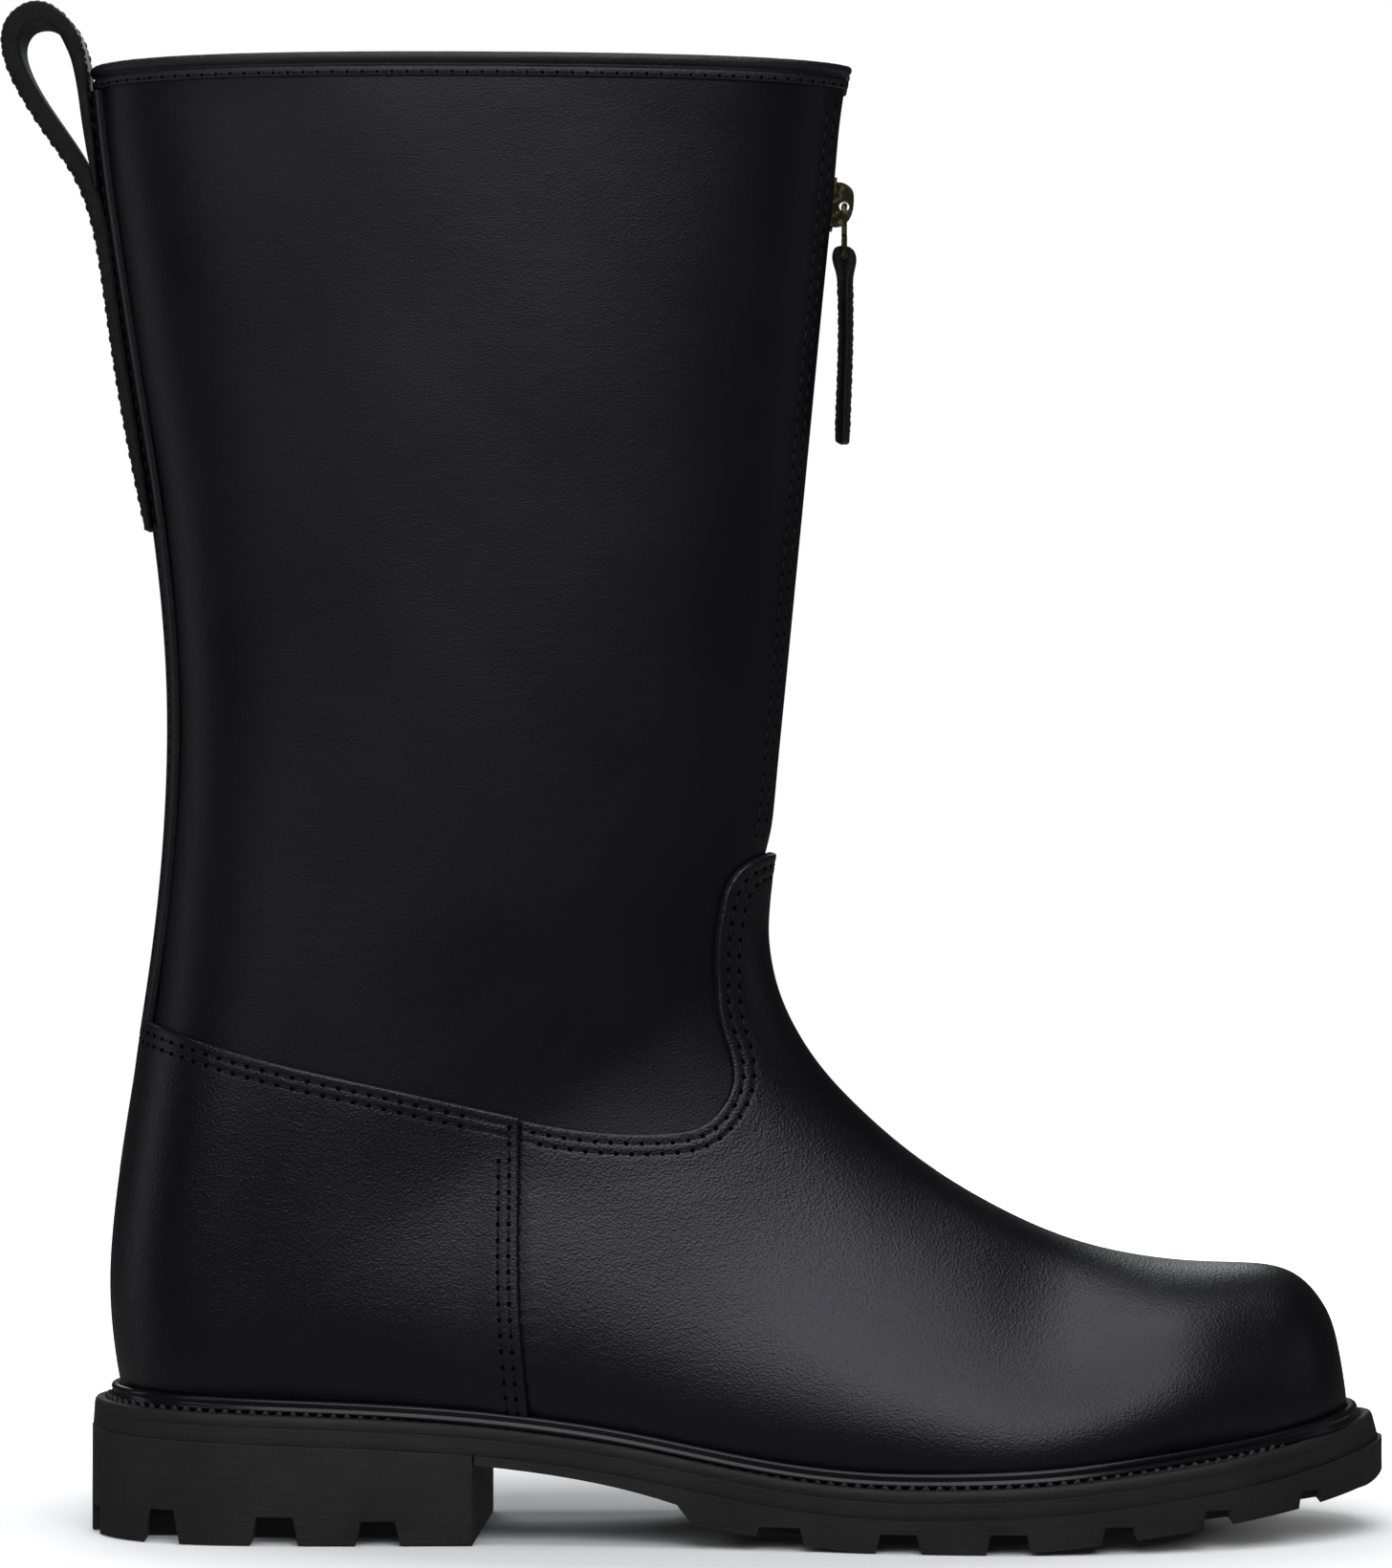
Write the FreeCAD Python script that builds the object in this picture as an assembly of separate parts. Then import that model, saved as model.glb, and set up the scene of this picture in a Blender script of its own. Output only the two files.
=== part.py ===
"""Right mid-calf leather boot with a front zip, a pull loop and a lugged sole.

Frame: millimetres, +X towards the toe, +Y towards the wearer's left (medial side), +Z up.
Origin: on the ground under the middle of the heel.

Every layer of the upper is an offset of one body surface, which is the outer face of the
shaft leather. The surface runs through a fan of closed sections, from the toe tip over the
instep to the top edge of the shaft.
"""
import FreeCAD
import Part
import math
import os
from FreeCAD import Vector

# ---- overall sizes -------------------------------------------------------------------------
SOLE_LENGTH = 311.8      # heel back to toe front of the sole
SOLE_WIDTH = 106.3       # sole across the ball
BOOT_HEIGHT = 352.0      # ground to the top edge of the shaft
ANKLE_HEIGHT = 165.0     # the shaft stretches above this height only

# ---- layers of the upper -------------------------------------------------------------------
SEAT = 0.2               # gap between layers that lie on each other
FOOT_LEATHER = 1.6       # vamp and quarter
SHAFT_LEATHER = 2.0
LINING = 1.0
STRAP_LEATHER = 1.7      # back strap
TAPE = 0.8               # zip tape
RAND_WIDTH = 2.2
RAND_HEIGHT = 3.1
BINDING_REACH = 3.5      # how far the binding comes down each side of the top edge
BINDING_TOP = 2.2        # thickness of the binding over the edge
BINDING_SIDE = 0.8

# ---- sole layers ---------------------------------------------------------------------------
WELT = 3.0
MIDSOLE = 3.6
INSOLE = 3.0
SOCK = 2.0
WELT_INNER_MARGIN = 22.0  # width of the welt, from the sole edge inwards
SHANK_WIDTH = 14.0
SHANK_THICKNESS = 1.2
EDGE_LUG_REACH = 15.0     # a side notch reaches this far in from the sole edge
NOTCH_FLARE = 2.6         # a side notch is this much wider on each side below the ground
NOTCH_FOOT = -6.0         # prisms of the notches start at this height
BACK_NOTCH_X = -24.0      # the two notches in the heel's back reach this far forward
BACK_NOTCH_ROOF = 6.6
HEEL_POCKETS = ((-21.0, -9.0), (30.0, 46.0))
HEEL_POCKET_HALF = 14.0
HEEL_POCKET_ROOF = 5.0
HEEL_GROOVES = (9.0, 22.0)
HEEL_GROOVE_WIDTH = 3.0
HEEL_GROOVE_HALF = 16.0
HEEL_GROOVE_ROOF = 3.0
CROSS_CHANNEL_WIDTH = 4.0
HEEL_BREAST_X = 58.4
HEEL_BREAST_SKEW = 1.4    # the breast stands this much further forward on the medial side
NAIL_RADIUS = 1.3
NAIL_HEAD_RADIUS = 2.6
NAIL_HEAD = 1.0
NAIL_LENGTH = 15.0

# ---- straps and loop -----------------------------------------------------------------------
STRAP_HALF_WIDTH = 9.0

# ---- zip -----------------------------------------------------------------------------------
ZIP_FOOT_X = 129.3        # a point of the straight front line of the shaft
ZIP_FOOT_Z = 172.5
ZIP_LEAN = 0.0965         # forward lean of the front line, run over rise
ZIP_START = 170.0         # height of the lowest tooth
ZIP_STOP_TOP = 327.0      # height of the top stops
GAP_HALF = 4.9            # half the gap between the two front edges
TAPE_HALF = 14.0
TOOTH_HALF_GAP = 0.7      # the rows stand this far from the middle, clear of the slider's wedge
TOOTH_OUTER = 3.0
TOOTH_THICKNESS = 1.8
TOOTH_LENGTH = 1.5
TOOTH_PITCH = 3.0
TOOTH_MIDDLE = -2.5       # the teeth's middle plane, measured from the body surface
SLIDER_CLEARANCE = 0.3
SLIDER_HALF_WIDTH = 4.3
SLIDER_LOW = 313.0        # height of the slider's lower end
SLIDER_LENGTH = 12.5
PLATE = 1.0
LINK_AXIS_X = 145.5
LINK_AXIS_Z = 319.0
LINK_BAR_RADIUS = 0.7
LINK_DROP = 12.25         # from the upper bar's axis to the lower bar's axis
PULL_LENGTH = 45.0        # from the lower bar's axis to the end of the leather pull
PULL_WIDTH = 10.5
PULL_THICKNESS = 2.7
PULL_TWIST = -8.0         # degrees about the vertical
PULL_CORNER = 3.0         # corner radius of the leather pull
FOLD_RADIUS = 2.7         # fold of the leather round the lower bar
FOLD_HALF_WIDTH = 3.1
SHOULDER_DROP = 4.4       # the pull reaches its full width this far below the lower bar
LINK_HALF_THICKNESS = 0.6
LINK_UPPER_HALF = 3.0     # half-width of the link's upper frame
LINK_LOWER_HALF = 4.6
LINK_WALL = 1.1
LINK_LOWER_BAR_RADIUS = 0.9
EYE_CLEARANCE = 0.55      # between the link's upper bar and the eye in the slider's bridge
BRIDGE_TOP = 4.2          # how far the bridge stands out from the front line
BRIDGE_HALF_WIDTH = 1.4
STOP_LENGTH = 3.0

# ---- the reference last that the tables below describe --------------------------------------
REFERENCE_LENGTH = 311.8
REFERENCE_WIDTH = 106.3
REFERENCE_HEIGHT = 352.0
KX = SOLE_LENGTH / REFERENCE_LENGTH
KY = SOLE_WIDTH / REFERENCE_WIDTH
KZ = (BOOT_HEIGHT - ANKLE_HEIGHT) / (REFERENCE_HEIGHT - ANKLE_HEIGHT)
FAR = 130.0 * max(KX, KY)  # prisms reach this far to each side

# Section shapes: three weights of the squared half-width, at the low end, middle and top.
TOE = (6.5, 2.5, 2.8)
ARCH = (8.8, 1.25, 1.5)
SHAFT = (6.5, 2.8, 5.0)

# Fan of sections: low end (x, z), top end (x, z), middle y, lateral and medial half-width, shape.
SECTIONS = [
    ((265.2, 29.4), (265.2, 32.8), 5.0, 2.2, 2.2, TOE),
    ((264.6, 26.0), (264.6, 36.4), 5.0, 7.5, 7.0, TOE),
    ((262.2, 21.0), (262.9, 45.4), 5.0, 15.0, 14.5, TOE),
    ((257.5, 18.3), (260.2, 52.6), 4.8, 22.0, 21.0, TOE),
    ((250.0, 16.3), (254.0, 59.3), 4.6, 29.0, 28.4, TOE),
    ((238.0, 13.5), (243.5, 61.7), 4.4, 35.6, 34.8, TOE),
    ((218.0, 9.0), (226.0, 62.4), 3.5, 42.6, 40.5, TOE),
    ((190.0, 4.5), (203.0, 66.9), 2.0, 45.6, 44.4, ARCH),
    ((160.0, 3.0), (182.0, 75.6), 0.5, 43.8, 41.8, ARCH),
    ((128.0, 6.0), (163.0, 87.2), 0.0, 39.3, 36.4, (9.1, 1.2, 1.7)),
    ((95.0, 12.5), (147.5, 100.5), 0.0, 34.5, 32.5, (9.6, 1.1, 2.2)),
    ((60.0, 17.5), (136.3, 113.3), 0.0, 32.0, 30.5, (10.2, 1.1, 2.8)),
    ((25.0, 20.5), (128.6, 127.5), 0.0, 31.0, 30.5, (10.5, 0.85, 3.3)),
    ((-8.0, 22.5), (125.8, 139.5), 0.0, 30.7, 30.5, (10.5, 0.65, 3.7)),
    ((-24.0, 28.0), (125.6, 147.0), 0.0, 30.7, 30.7, (10.4, 0.5, 4.1)),
    ((-28.6, 43.0), (126.3, 155.0), 0.0, 30.6, 30.6, (10.2, 0.45, 4.4)),
    ((-29.7, 62.0), (127.5, 163.0), 0.0, 30.5, 30.5, (9.9, 0.5, 4.7)),
    ((-27.4, 87.0), (129.06, 170.0), 0.0, 30.3, 30.3, (9.4, 0.73, 4.95)),
    ((-23.0, 117.0), (130.22, 182.0), 0.0, 30.6, 30.6, (8.3, 1.5, 5.1)),
    ((-18.8, 147.0), (132.15, 202.0), 0.0, 31.0, 31.0, (7.2, 2.3, 5.05)),
    ((-16.4, 178.0), (134.27, 224.0), 0.0, 31.4, 31.4, (6.6, 2.7, 5.0)),
    ((-16.5, 209.0), (136.58, 248.0), 0.0, 31.9, 31.9, SHAFT),
    ((-19.6, 241.0), (138.99, 273.0), 0.0, 32.4, 32.4, SHAFT),
    ((-24.4, 272.0), (141.51, 299.0), 0.0, 32.9, 32.9, SHAFT),
    ((-29.3, 303.0), (144.0, 324.0), 0.0, 33.3, 33.3, SHAFT),
    ((-33.0, 329.0), (145.3, 338.0), 0.0, 33.5, 33.5, SHAFT),
    ((-35.4, 353.0), (147.4, 353.0), 0.0, 33.7, 33.7, SHAFT),
    ((-37.2, 378.0), (150.0, 378.0), 0.0, 33.8, 33.8, SHAFT),
]
POINTS_ROUND_SECTION = 26

# Side profiles of the sole (x, z).
WELT_TOP = [(-60, 33.2), (-36, 32.3), (6, 30.7), (40.5, 29.3), (66, 27.3), (92.9, 23.5),
            (127.1, 17.2), (152.7, 14.8), (172, 14.9), (192.5, 15.9), (216, 18.3),
            (236.3, 20.9), (257.7, 24.6), (275.8, 28.8), (300, 35.0)]
WAIST_UNDERSIDE = [(50, 19.6), (59, 18.7), (81, 15.8), (105.2, 10.1)]
TREAD_UNDERSIDE = [(109, 5.2), (123, 3.2), (136, 1.3), (147.6, 0.0)]
TOE_UNDERSIDE = [(178.7, 0.0), (195, 1.1), (212, 2.9), (229, 5.0), (252.2, 8.3), (268, 11.2)]
TOE_EDGE = [(268, 11.2), (273.4, 12.6), (277, 15.4)]

# Plan outline of the sole (x, y), lateral side first, from the heel back round the toe.
SOLE_OUTLINE = [(-36, 0), (-33.4, -12), (-27, -22.5), (-14, -31.2), (5, -34.6), (40, -35),
                (75, -35.2), (110, -39.8), (150, -48), (185, -52), (218, -47.6), (246, -35.5),
                (266, -17.5), (275.8, 4), (271, 22), (257, 36.5), (236, 47.5), (205, 54.3),
                (180, 51.5), (150, 44), (110, 35), (75, 31.8), (40, 33.2), (5, 34.4),
                (-14, 31.2), (-27, 22.5), (-33.4, 12)]

# Seams of the upper in the side view (x, z).
QUARTER_TOP = [(-50, 131.5), (-23, 123.1), (2.8, 115.4), (35.6, 107.8), (67.6, 100.4)]
QUARTER_FRONT = [(67.6, 100.4), (67.8, 82.5), (68.0, 58.8), (69.1, 44.2), (71.5, 20)]
VAMP_EDGE = [(68.4, 99.8), (80.9, 97.4), (93.3, 96.3), (103.4, 96.4), (111.3, 98.2),
             (115.8, 102.6), (118.1, 108.1), (117.4, 114.8), (115.1, 122.3), (114.2, 131.8),
             (114.2, 141.5), (115.1, 148.1), (116.7, 154.7), (119.7, 159.1), (123.2, 161.3),
             (129.1, 163.5), (136, 164.5)]
SHAFT_FOOT = [(-50, 120), (-20, 112.5), (35, 98), (66, 90.5), (90, 87.2), (106, 87.3),
              (119, 92), (126, 103), (125.5, 118), (123, 133), (123, 146), (126, 152), (136, 154.6)]
MIDFOOT_X = 70.0          # the heel counter ends here
PUFF_X = 215.0            # the toe puff starts here

# Pull loop in the side view: outer and inner outline of the folded strap.
LOOP_OUTER = [(-22.2, 241.0), (-25.9, 257.0), (-29.5, 277.0), (-32.4, 297.0), (-35.2, 313.0),
              (-39.6, 324.9), (-46.0, 334.5), (-53.3, 345.7), (-56.9, 355.0), (-56.2, 363.0),
              (-50.5, 367.4), (-44.6, 366.3), (-39.6, 361.2), (-37.2, 354.5), (-36.4, 347.0)]
LOOP_INNER = [(-37.3, 328.4), (-41.2, 334.2), (-46.6, 342.0), (-50.9, 350.0), (-52.4, 356.0),
              (-50.9, 360.8), (-47.2, 361.8), (-43.4, 359.4), (-40.4, 353.6), (-38.9, 345.0),
              (-37.6, 335.0)]
LOOP_TAIL = 0.9           # thickness of the skived tail


# ---- reference to real sizes ----------------------------------------------------------------
def real(x, z):
    """A side-view point of the reference last, at the boot's own length and height."""
    return x * KX, z if z <= ANKLE_HEIGHT else ANKLE_HEIGHT + (z - ANKLE_HEIGHT) * KZ


def side_point(point, y=0.0, rise=0.0):
    x, z = real(*point)
    return Vector(x, y, z + rise)


def spline(points, parameters=None):
    curve = Part.BSplineCurve()
    if parameters is None:
        curve.interpolate(Points=points)
    else:
        curve.interpolate(Points=points, Parameters=parameters)
    return curve


def track(values):
    """Smooth scalar along the sections: its value at t is the curve's y."""
    steps = [float(i) for i in range(len(values))]
    return spline([Vector(t, v, 0) for t, v in zip(steps, values)], steps)


# ---- body surface ---------------------------------------------------------------------------
class BodySurface:
    """Outer face of the shaft leather. t is the section's number, phi the angle round it.

    The section's point is low + s * (top - low) with s = (1 - cos phi) / 2, and its half-width
    is sin(phi) / 2 times the root of a quadratic in s. phi runs from the low end (0) over the
    medial side to the top end (pi) and back over the lateral side.
    """

    def __init__(self, sections):
        self.count = len(sections)
        steps = [float(i) for i in range(self.count)]
        self.low = spline([side_point(s[0]) for s in sections], steps)
        self.top = spline([side_point(s[1]) for s in sections], steps)
        self.middle = track([s[2] * KY for s in sections])
        self.lateral = track([s[3] * KY for s in sections])
        self.medial = track([s[4] * KY for s in sections])
        self.weights = [track([s[5][k] for s in sections]) for k in range(3)]
        self.lofts = {}

    def point(self, t, phi):
        low = self.low.value(t)
        top = self.top.value(t)
        low_weight, mid_weight, top_weight = [w.value(t).y for w in self.weights]
        s = (1.0 - math.cos(phi)) / 2.0
        square = low_weight * (1 - s) ** 2 + 2 * mid_weight * s * (1 - s) + top_weight * s * s
        half = (self.medial if math.sin(phi) >= 0 else self.lateral).value(t).y
        y = self.middle.value(t).y + half * math.sin(phi) / 2.0 * math.sqrt(max(square, 0.05))
        middle = low + (top - low) * s
        return Vector(middle.x, y, middle.z)

    def normal(self, t, phi):
        """Unit normal, away from the inside."""
        step = 0.02
        before = max(t - step, 0.0)
        after = min(t + step, self.count - 1.0)
        along = self.point(after, phi) - self.point(before, phi)
        around = self.point(t, phi + step) - self.point(t, phi - step)
        return along.cross(around).normalize()

    def loft(self, offset):
        """Closed solid inside the surface moved outwards by offset: skin, toe cap and top cap."""
        if offset not in self.lofts:
            surface = Part.BSplineSurface()
            surface.interpolate([self._ring(i, offset) for i in range(self.count)])
            skin = surface.toShape()
            caps = [Part.Face(Part.Wire([e])) for e in skin.Edges if e.isClosed()]
            sewn = Part.Compound([skin] + caps)
            sewn.sewShape()
            solid = Part.Solid(sewn.Shells[0])
            if solid.Volume < 0:
                solid.reverse()
            self.lofts[offset] = solid
        return self.lofts[offset]

    def _ring(self, i, offset):
        """Points round section i moved outwards; the first and last rings are flat."""
        turn = 2 * math.pi / POINTS_ROUND_SECTION
        angles = [turn * k for k in range(POINTS_ROUND_SECTION)]
        if i == 0:
            points = [self.point(0, a) + Vector(offset, 0, 0) for a in angles]
        else:
            points = [self.point(i, a) + self.normal(i, a) * offset for a in angles]
        if i == self.count - 1:
            points = [Vector(p.x, p.y, self.top.value(i).z) for p in points]
        return points + [points[0]]


# ---- prisms ---------------------------------------------------------------------------------
def through_sides(wire_points_or_edges):
    """Prism of a closed side-view outline, right through the boot along Y."""
    wire = Part.Wire(wire_points_or_edges)
    face = Part.Face(wire)
    face.translate(Vector(0, -FAR, 0))
    return face.extrude(Vector(0, 2 * FAR, 0))


def outline_edges(parts):
    """Edges of a closed outline from splines (lists of 3 or more points) joined by lines."""
    edges = []
    for points in parts:
        if len(points) > 2:
            edges.append(spline(points).toShape())
        else:
            edges.append(Part.makeLine(points[0], points[1]))
    closed = []
    for i, edge in enumerate(edges):
        closed.append(edge)
        end = parts[i][-1]
        start = parts[(i + 1) % len(parts)][0]
        if end.distanceToPoint(start) > 1e-6:
            closed.append(Part.makeLine(end, start))
    return closed


def profile(table, rise=0.0, first=-1e9, last=1e9):
    """Points of a side profile between two x, with the ends worked out on the curve."""
    curve = profile_curve(table)
    low = max(first, table[0][0] * KX)
    high = min(last, table[-1][0] * KX)
    inner = [p for p in table if low + 1.0 < p[0] * KX < high - 1.0]
    xs = [low] + [p[0] * KX for p in inner] + [high]
    return [Vector(x, 0, curve.value(x).z + rise) for x in xs]


def profile_curve(table):
    points = [side_point(p) for p in table]
    return spline(points, [p.x for p in points])


def height_at(table, x):
    return profile_curve(table).value(x).z


def slab(bottom_rise, top_rise, first=-1e9, last=1e9):
    """Prism between two curves parallel to the top of the welt."""
    bottom = profile(WELT_TOP, bottom_rise, first, last)
    top = profile(WELT_TOP, top_rise, first, last)
    return through_sides(outline_edges([bottom, top[::-1]]))


def plan_prism(inset, low=-5.0, high=80.0):
    """Prism of the sole outline moved inwards by inset."""
    curve = Part.BSplineCurve()
    curve.interpolate(Points=[Vector(x * KX, y * KY, 0) for x, y in SOLE_OUTLINE], PeriodicFlag=True)
    if inset:
        count = 40
        first, last = curve.FirstParameter, curve.LastParameter
        moved = []
        for i in range(count):
            u = first + (last - first) * i / count
            tangent = curve.tangent(u)[0]
            moved.append(curve.value(u) + Vector(-tangent.y, tangent.x, 0) * inset)
        curve = Part.BSplineCurve()
        curve.interpolate(Points=moved, PeriodicFlag=True)
    face = Part.Face(Part.Wire([curve.toShape()]))
    face.translate(Vector(0, 0, low))
    return face.extrude(Vector(0, 0, high - low))


def box(x0, x1, y0, y1, z0, z1):
    return Part.makeBox(x1 - x0, y1 - y0, z1 - z0, Vector(x0, y0, z0))


def one(shape):
    """The shape's largest solid: booleans can leave slivers beside it."""
    solids = sorted(shape.Solids, key=lambda s: s.Volume)
    if not solids:
        raise ValueError("a piece came out empty")
    return solids[-1].copy()


# ---- upper ----------------------------------------------------------------------------------
FOOT_OUT = SEAT + FOOT_LEATHER
SHAFT_IN = -SHAFT_LEATHER
LINING_OUT = SHAFT_IN - SEAT
LINING_IN = LINING_OUT - LINING
ROOM = LINING_IN - SEAT
EDGE_Z = BOOT_HEIGHT - BINDING_TOP - SEAT   # cut top edge of shaft leather and lining
BIG = 600.0


def layer(body, outside, inside, region):
    return body.loft(outside).copy().common(region).cut(body.loft(inside).copy())


def seam(points, dx=0.0, dz=0.0):
    return [side_point(p) + Vector(dx, 0, dz) for p in points]


def foot_pieces(body):
    front = MIDFOOT_X * KX
    lap = QUARTER_FRONT[-1][0] * KX
    quarter_front = seam(QUARTER_FRONT)
    vamp_edge = seam(VAMP_EDGE)
    vamp_front = seam(QUARTER_FRONT, dx=2 * SEAT)
    far = Vector(BIG, 0, vamp_edge[-1].z)
    floor_far = Vector(BIG, 0, 0)
    floor = Vector(vamp_front[-1].x, 0, 0)
    vamp_region = through_sides(outline_edges([
        vamp_edge, [far, floor_far], [floor, vamp_front[-1]], vamp_front[::-1]]))
    quarter_top = seam(QUARTER_TOP)
    back_floor = Vector(quarter_top[0].x, 0, 0)
    quarter_region = through_sides(outline_edges([
        quarter_top, quarter_front, [Vector(lap, 0, 0), back_floor]]))
    above = slab(SEAT, BIG)
    shaft_foot = seam(SHAFT_FOOT, dx=1.5 * SEAT, dz=-1.5 * SEAT)
    behind = through_sides(outline_edges([
        shaft_foot, [Vector(BIG, 0, shaft_foot[-1].z), floor_far],
        [Vector(shaft_foot[0].x, 0, 0), shaft_foot[0]]])).common(above)
    puff_x = PUFF_X * KX
    counter_zone = box(-BIG, front - SEAT, -FAR, FAR, 0, BIG)
    middle_zone = box(front + SEAT, puff_x - SEAT, -FAR, FAR, 0, BIG)
    puff_zone = box(puff_x + SEAT, BIG, -FAR, FAR, 0, BIG)
    hidden = layer(body, 0.0, SHAFT_IN, behind)
    return {
        "vamp": one(layer(body, FOOT_OUT, SEAT, vamp_region.common(above))),
        "quarter": one(layer(body, FOOT_OUT, SEAT, quarter_region.common(above))),
        "heel_counter": one(hidden.common(counter_zone)),
        "vamp_interlining": one(hidden.common(middle_zone)),
        "toe_puff": one(hidden.common(puff_zone)),
        "foot_lining": one(layer(body, LINING_OUT, LINING_IN, behind)),
    }


def shaft_pieces(body):
    foot = seam(SHAFT_FOOT)
    top_back = Vector(foot[0].x, 0, EDGE_Z)
    top_front = Vector(BIG, 0, EDGE_Z)
    region = through_sides(outline_edges([
        foot, [Vector(BIG, 0, foot[-1].z), top_front], [top_back, foot[0]]]))
    leather = layer(body, 0.0, SHAFT_IN, region)
    middle = ZIP_FOOT_X * KX * 0.6
    front_gap = box(middle, BIG, -GAP_HALF, GAP_HALF, 0, BIG)
    back_seam = box(-BIG, middle, -SEAT, SEAT, 0, BIG)
    leather = leather.cut(front_gap).cut(back_seam)
    sides = sorted(leather.Solids, key=lambda s: s.CenterOfMass.y)
    tape_slot = box(middle, BIG, -TAPE_HALF - 2 * SEAT, TAPE_HALF + 2 * SEAT, 0, BIG)
    lining = layer(body, LINING_OUT, LINING_IN, region).cut(tape_slot)
    return {
        "shaft_lateral": sides[0],
        "shaft_medial": sides[-1],
        "shaft_lining": one(lining),
    }


def binding(body):
    """U-shaped strip over the top edge, open at the front where the zip parts it."""
    low = EDGE_Z - BINDING_REACH
    outside = layer(body, SEAT + BINDING_SIDE, ROOM - BINDING_SIDE,
                    box(-BIG, BIG, -FAR, FAR, low, BOOT_HEIGHT))
    channel = layer(body, SEAT, ROOM, box(-BIG, BIG, -FAR, FAR, low - 1, EDGE_Z + SEAT))
    gap = box(0, BIG, -GAP_HALF, GAP_HALF, 0, BIG)
    return one(outside.cut(channel).cut(gap))


def back_strap(body):
    top = EDGE_Z - BINDING_REACH - SEAT
    bottom = side_point(QUARTER_TOP[1]).z + 1.0
    strip = box(-BIG, 0, -STRAP_HALF_WIDTH, STRAP_HALF_WIDTH, bottom, top)
    return one(layer(body, SEAT + STRAP_LEATHER, SEAT, strip))


def pull_loop(body):
    """Folded strap: a teardrop above, a skived tail that lies on the back strap below."""
    outer = [side_point(p) for p in LOOP_OUTER]
    inner = [side_point(p) for p in LOOP_INNER]
    seated = 2 * SEAT + STRAP_LEATHER
    tail = []
    for t in (25.8, 25.0, 24.5, 24.0, 23.5, 23.0, 22.5, 22.0):
        tail.append(body.point(t, 0.0) + body.normal(t, 0.0) * (seated - SEAT))
    tail = [p for p in tail if outer[0].z - 1 < p.z < outer[-1].z]
    foot = tail[-1] + (tail[-1] - tail[-2]).normalize() * 3.0
    tail.append(foot)
    start = foot + Vector(-LOOP_TAIL, 0, 0.5)
    outer[0] = start
    edges = [spline(outer).toShape()]
    edges.append(Part.makeLine(outer[-1], tail[0]))
    edges.append(spline(tail).toShape())
    edges.append(Part.makeLine(foot, start))
    hole = Part.BSplineCurve()
    hole.interpolate(Points=inner, PeriodicFlag=True)
    y = Vector(0, -STRAP_HALF_WIDTH, 0)
    width = Vector(0, 2 * STRAP_HALF_WIDTH, 0)
    solid_face = Part.Face(Part.Wire(edges))
    hole_face = Part.Face(Part.Wire([hole.toShape()]))
    solid_face.translate(y)
    hole_face.translate(y)
    loop = solid_face.extrude(width).cut(hole_face.extrude(width))
    return one(loop.cut(body.loft(seated).copy()))


def rand(body):
    face_out = FOOT_OUT + SEAT
    return one(layer(body, face_out + RAND_WIDTH, face_out, slab(SEAT, SEAT + RAND_HEIGHT)))


# ---- sole -----------------------------------------------------------------------------------
MIDSOLE_TOP = -WELT - SEAT
MIDSOLE_BOTTOM = MIDSOLE_TOP - MIDSOLE
OUTSOLE_TOP = MIDSOLE_BOTTOM - SEAT


def nail_places():
    return [(-22 * KX, 0), (-10 * KX, -20 * KY), (-10 * KX, 20 * KY),
            (32 * KX, -20 * KY), (32 * KX, 20 * KY)]


def nails(radius, head_radius, grow):
    """The heel nails, or with grow their clearance holes."""
    made = []
    for x, y in nail_places():
        top = height_at(WELT_TOP, x) + MIDSOLE_TOP - 3 * SEAT
        shaft_low = top - NAIL_LENGTH - grow
        made.append(Part.makeCylinder(radius, top - shaft_low + grow, Vector(x, y, shaft_low)))
        head = Part.makeCylinder(head_radius, NAIL_HEAD + 2 * grow, Vector(x, y, top - NAIL_HEAD - grow))
        made[-1] = made[-1].fuse(head).removeSplitter()
        if grow:
            made.append(Part.makeCylinder(head_radius, 5, Vector(x, y, top)))
    return made


def notch(x0, x1, roof, side, reach, edge_y):
    """Side notch of the tread: wider at the ground, cut in from one edge of the sole."""
    start = Vector(x0 * KX - NOTCH_FLARE, 0, NOTCH_FOOT)
    slope = [start, Vector(x0 * KX, 0, roof), Vector(x1 * KX, 0, roof),
             Vector(x1 * KX + NOTCH_FLARE, 0, NOTCH_FOOT), start]
    face = Part.Face(Part.makePolygon(slope))
    inner = edge_y * KY - reach
    y0 = inner if side > 0 else -FAR
    face.translate(Vector(0, y0, 0))
    return face.extrude(Vector(0, FAR - inner, 0))


# Side notches (x from, x to, roof height, half-widths of the sole there); channels between lugs.
HEEL_NOTCHES = [(-19.4, -13.8, 7.9, 31.0), (6.0, 14.6, 6.6, 35.0), (30.6, 38.7, 5.7, 35.0)]
TREAD_NOTCHES = [(124.4, 134.0, 5.4, 42.0, 37.5), (152.7, 161.1, 4.4, 48.5, 45.0),
                 (178.3, 186.8, 4.6, 52.0, 51.5), (205.0, 212.0, 6.2, 49.5, 54.0),
                 (229.0, 235.0, 9.3, 42.0, 48.0), (252.7, 257.2, 12.3, 31.0, 37.0)]
TREAD_CHANNELS = [(120.0, 144.0, 5.4), (146.0, 168.0, 4.4), (170.0, 196.0, 4.5),
                  (198.0, 220.0, 6.0), (222.0, 242.0, 8.6)]
CHANNEL_SIDES = [(-23.0, -19.5), (-2.0, 2.0), (20.5, 24.0)]
CROSS_CHANNELS = [(143.0, 4.4), (168.0, 4.4), (195.0, 5.0), (219.0, 7.4)]


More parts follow.
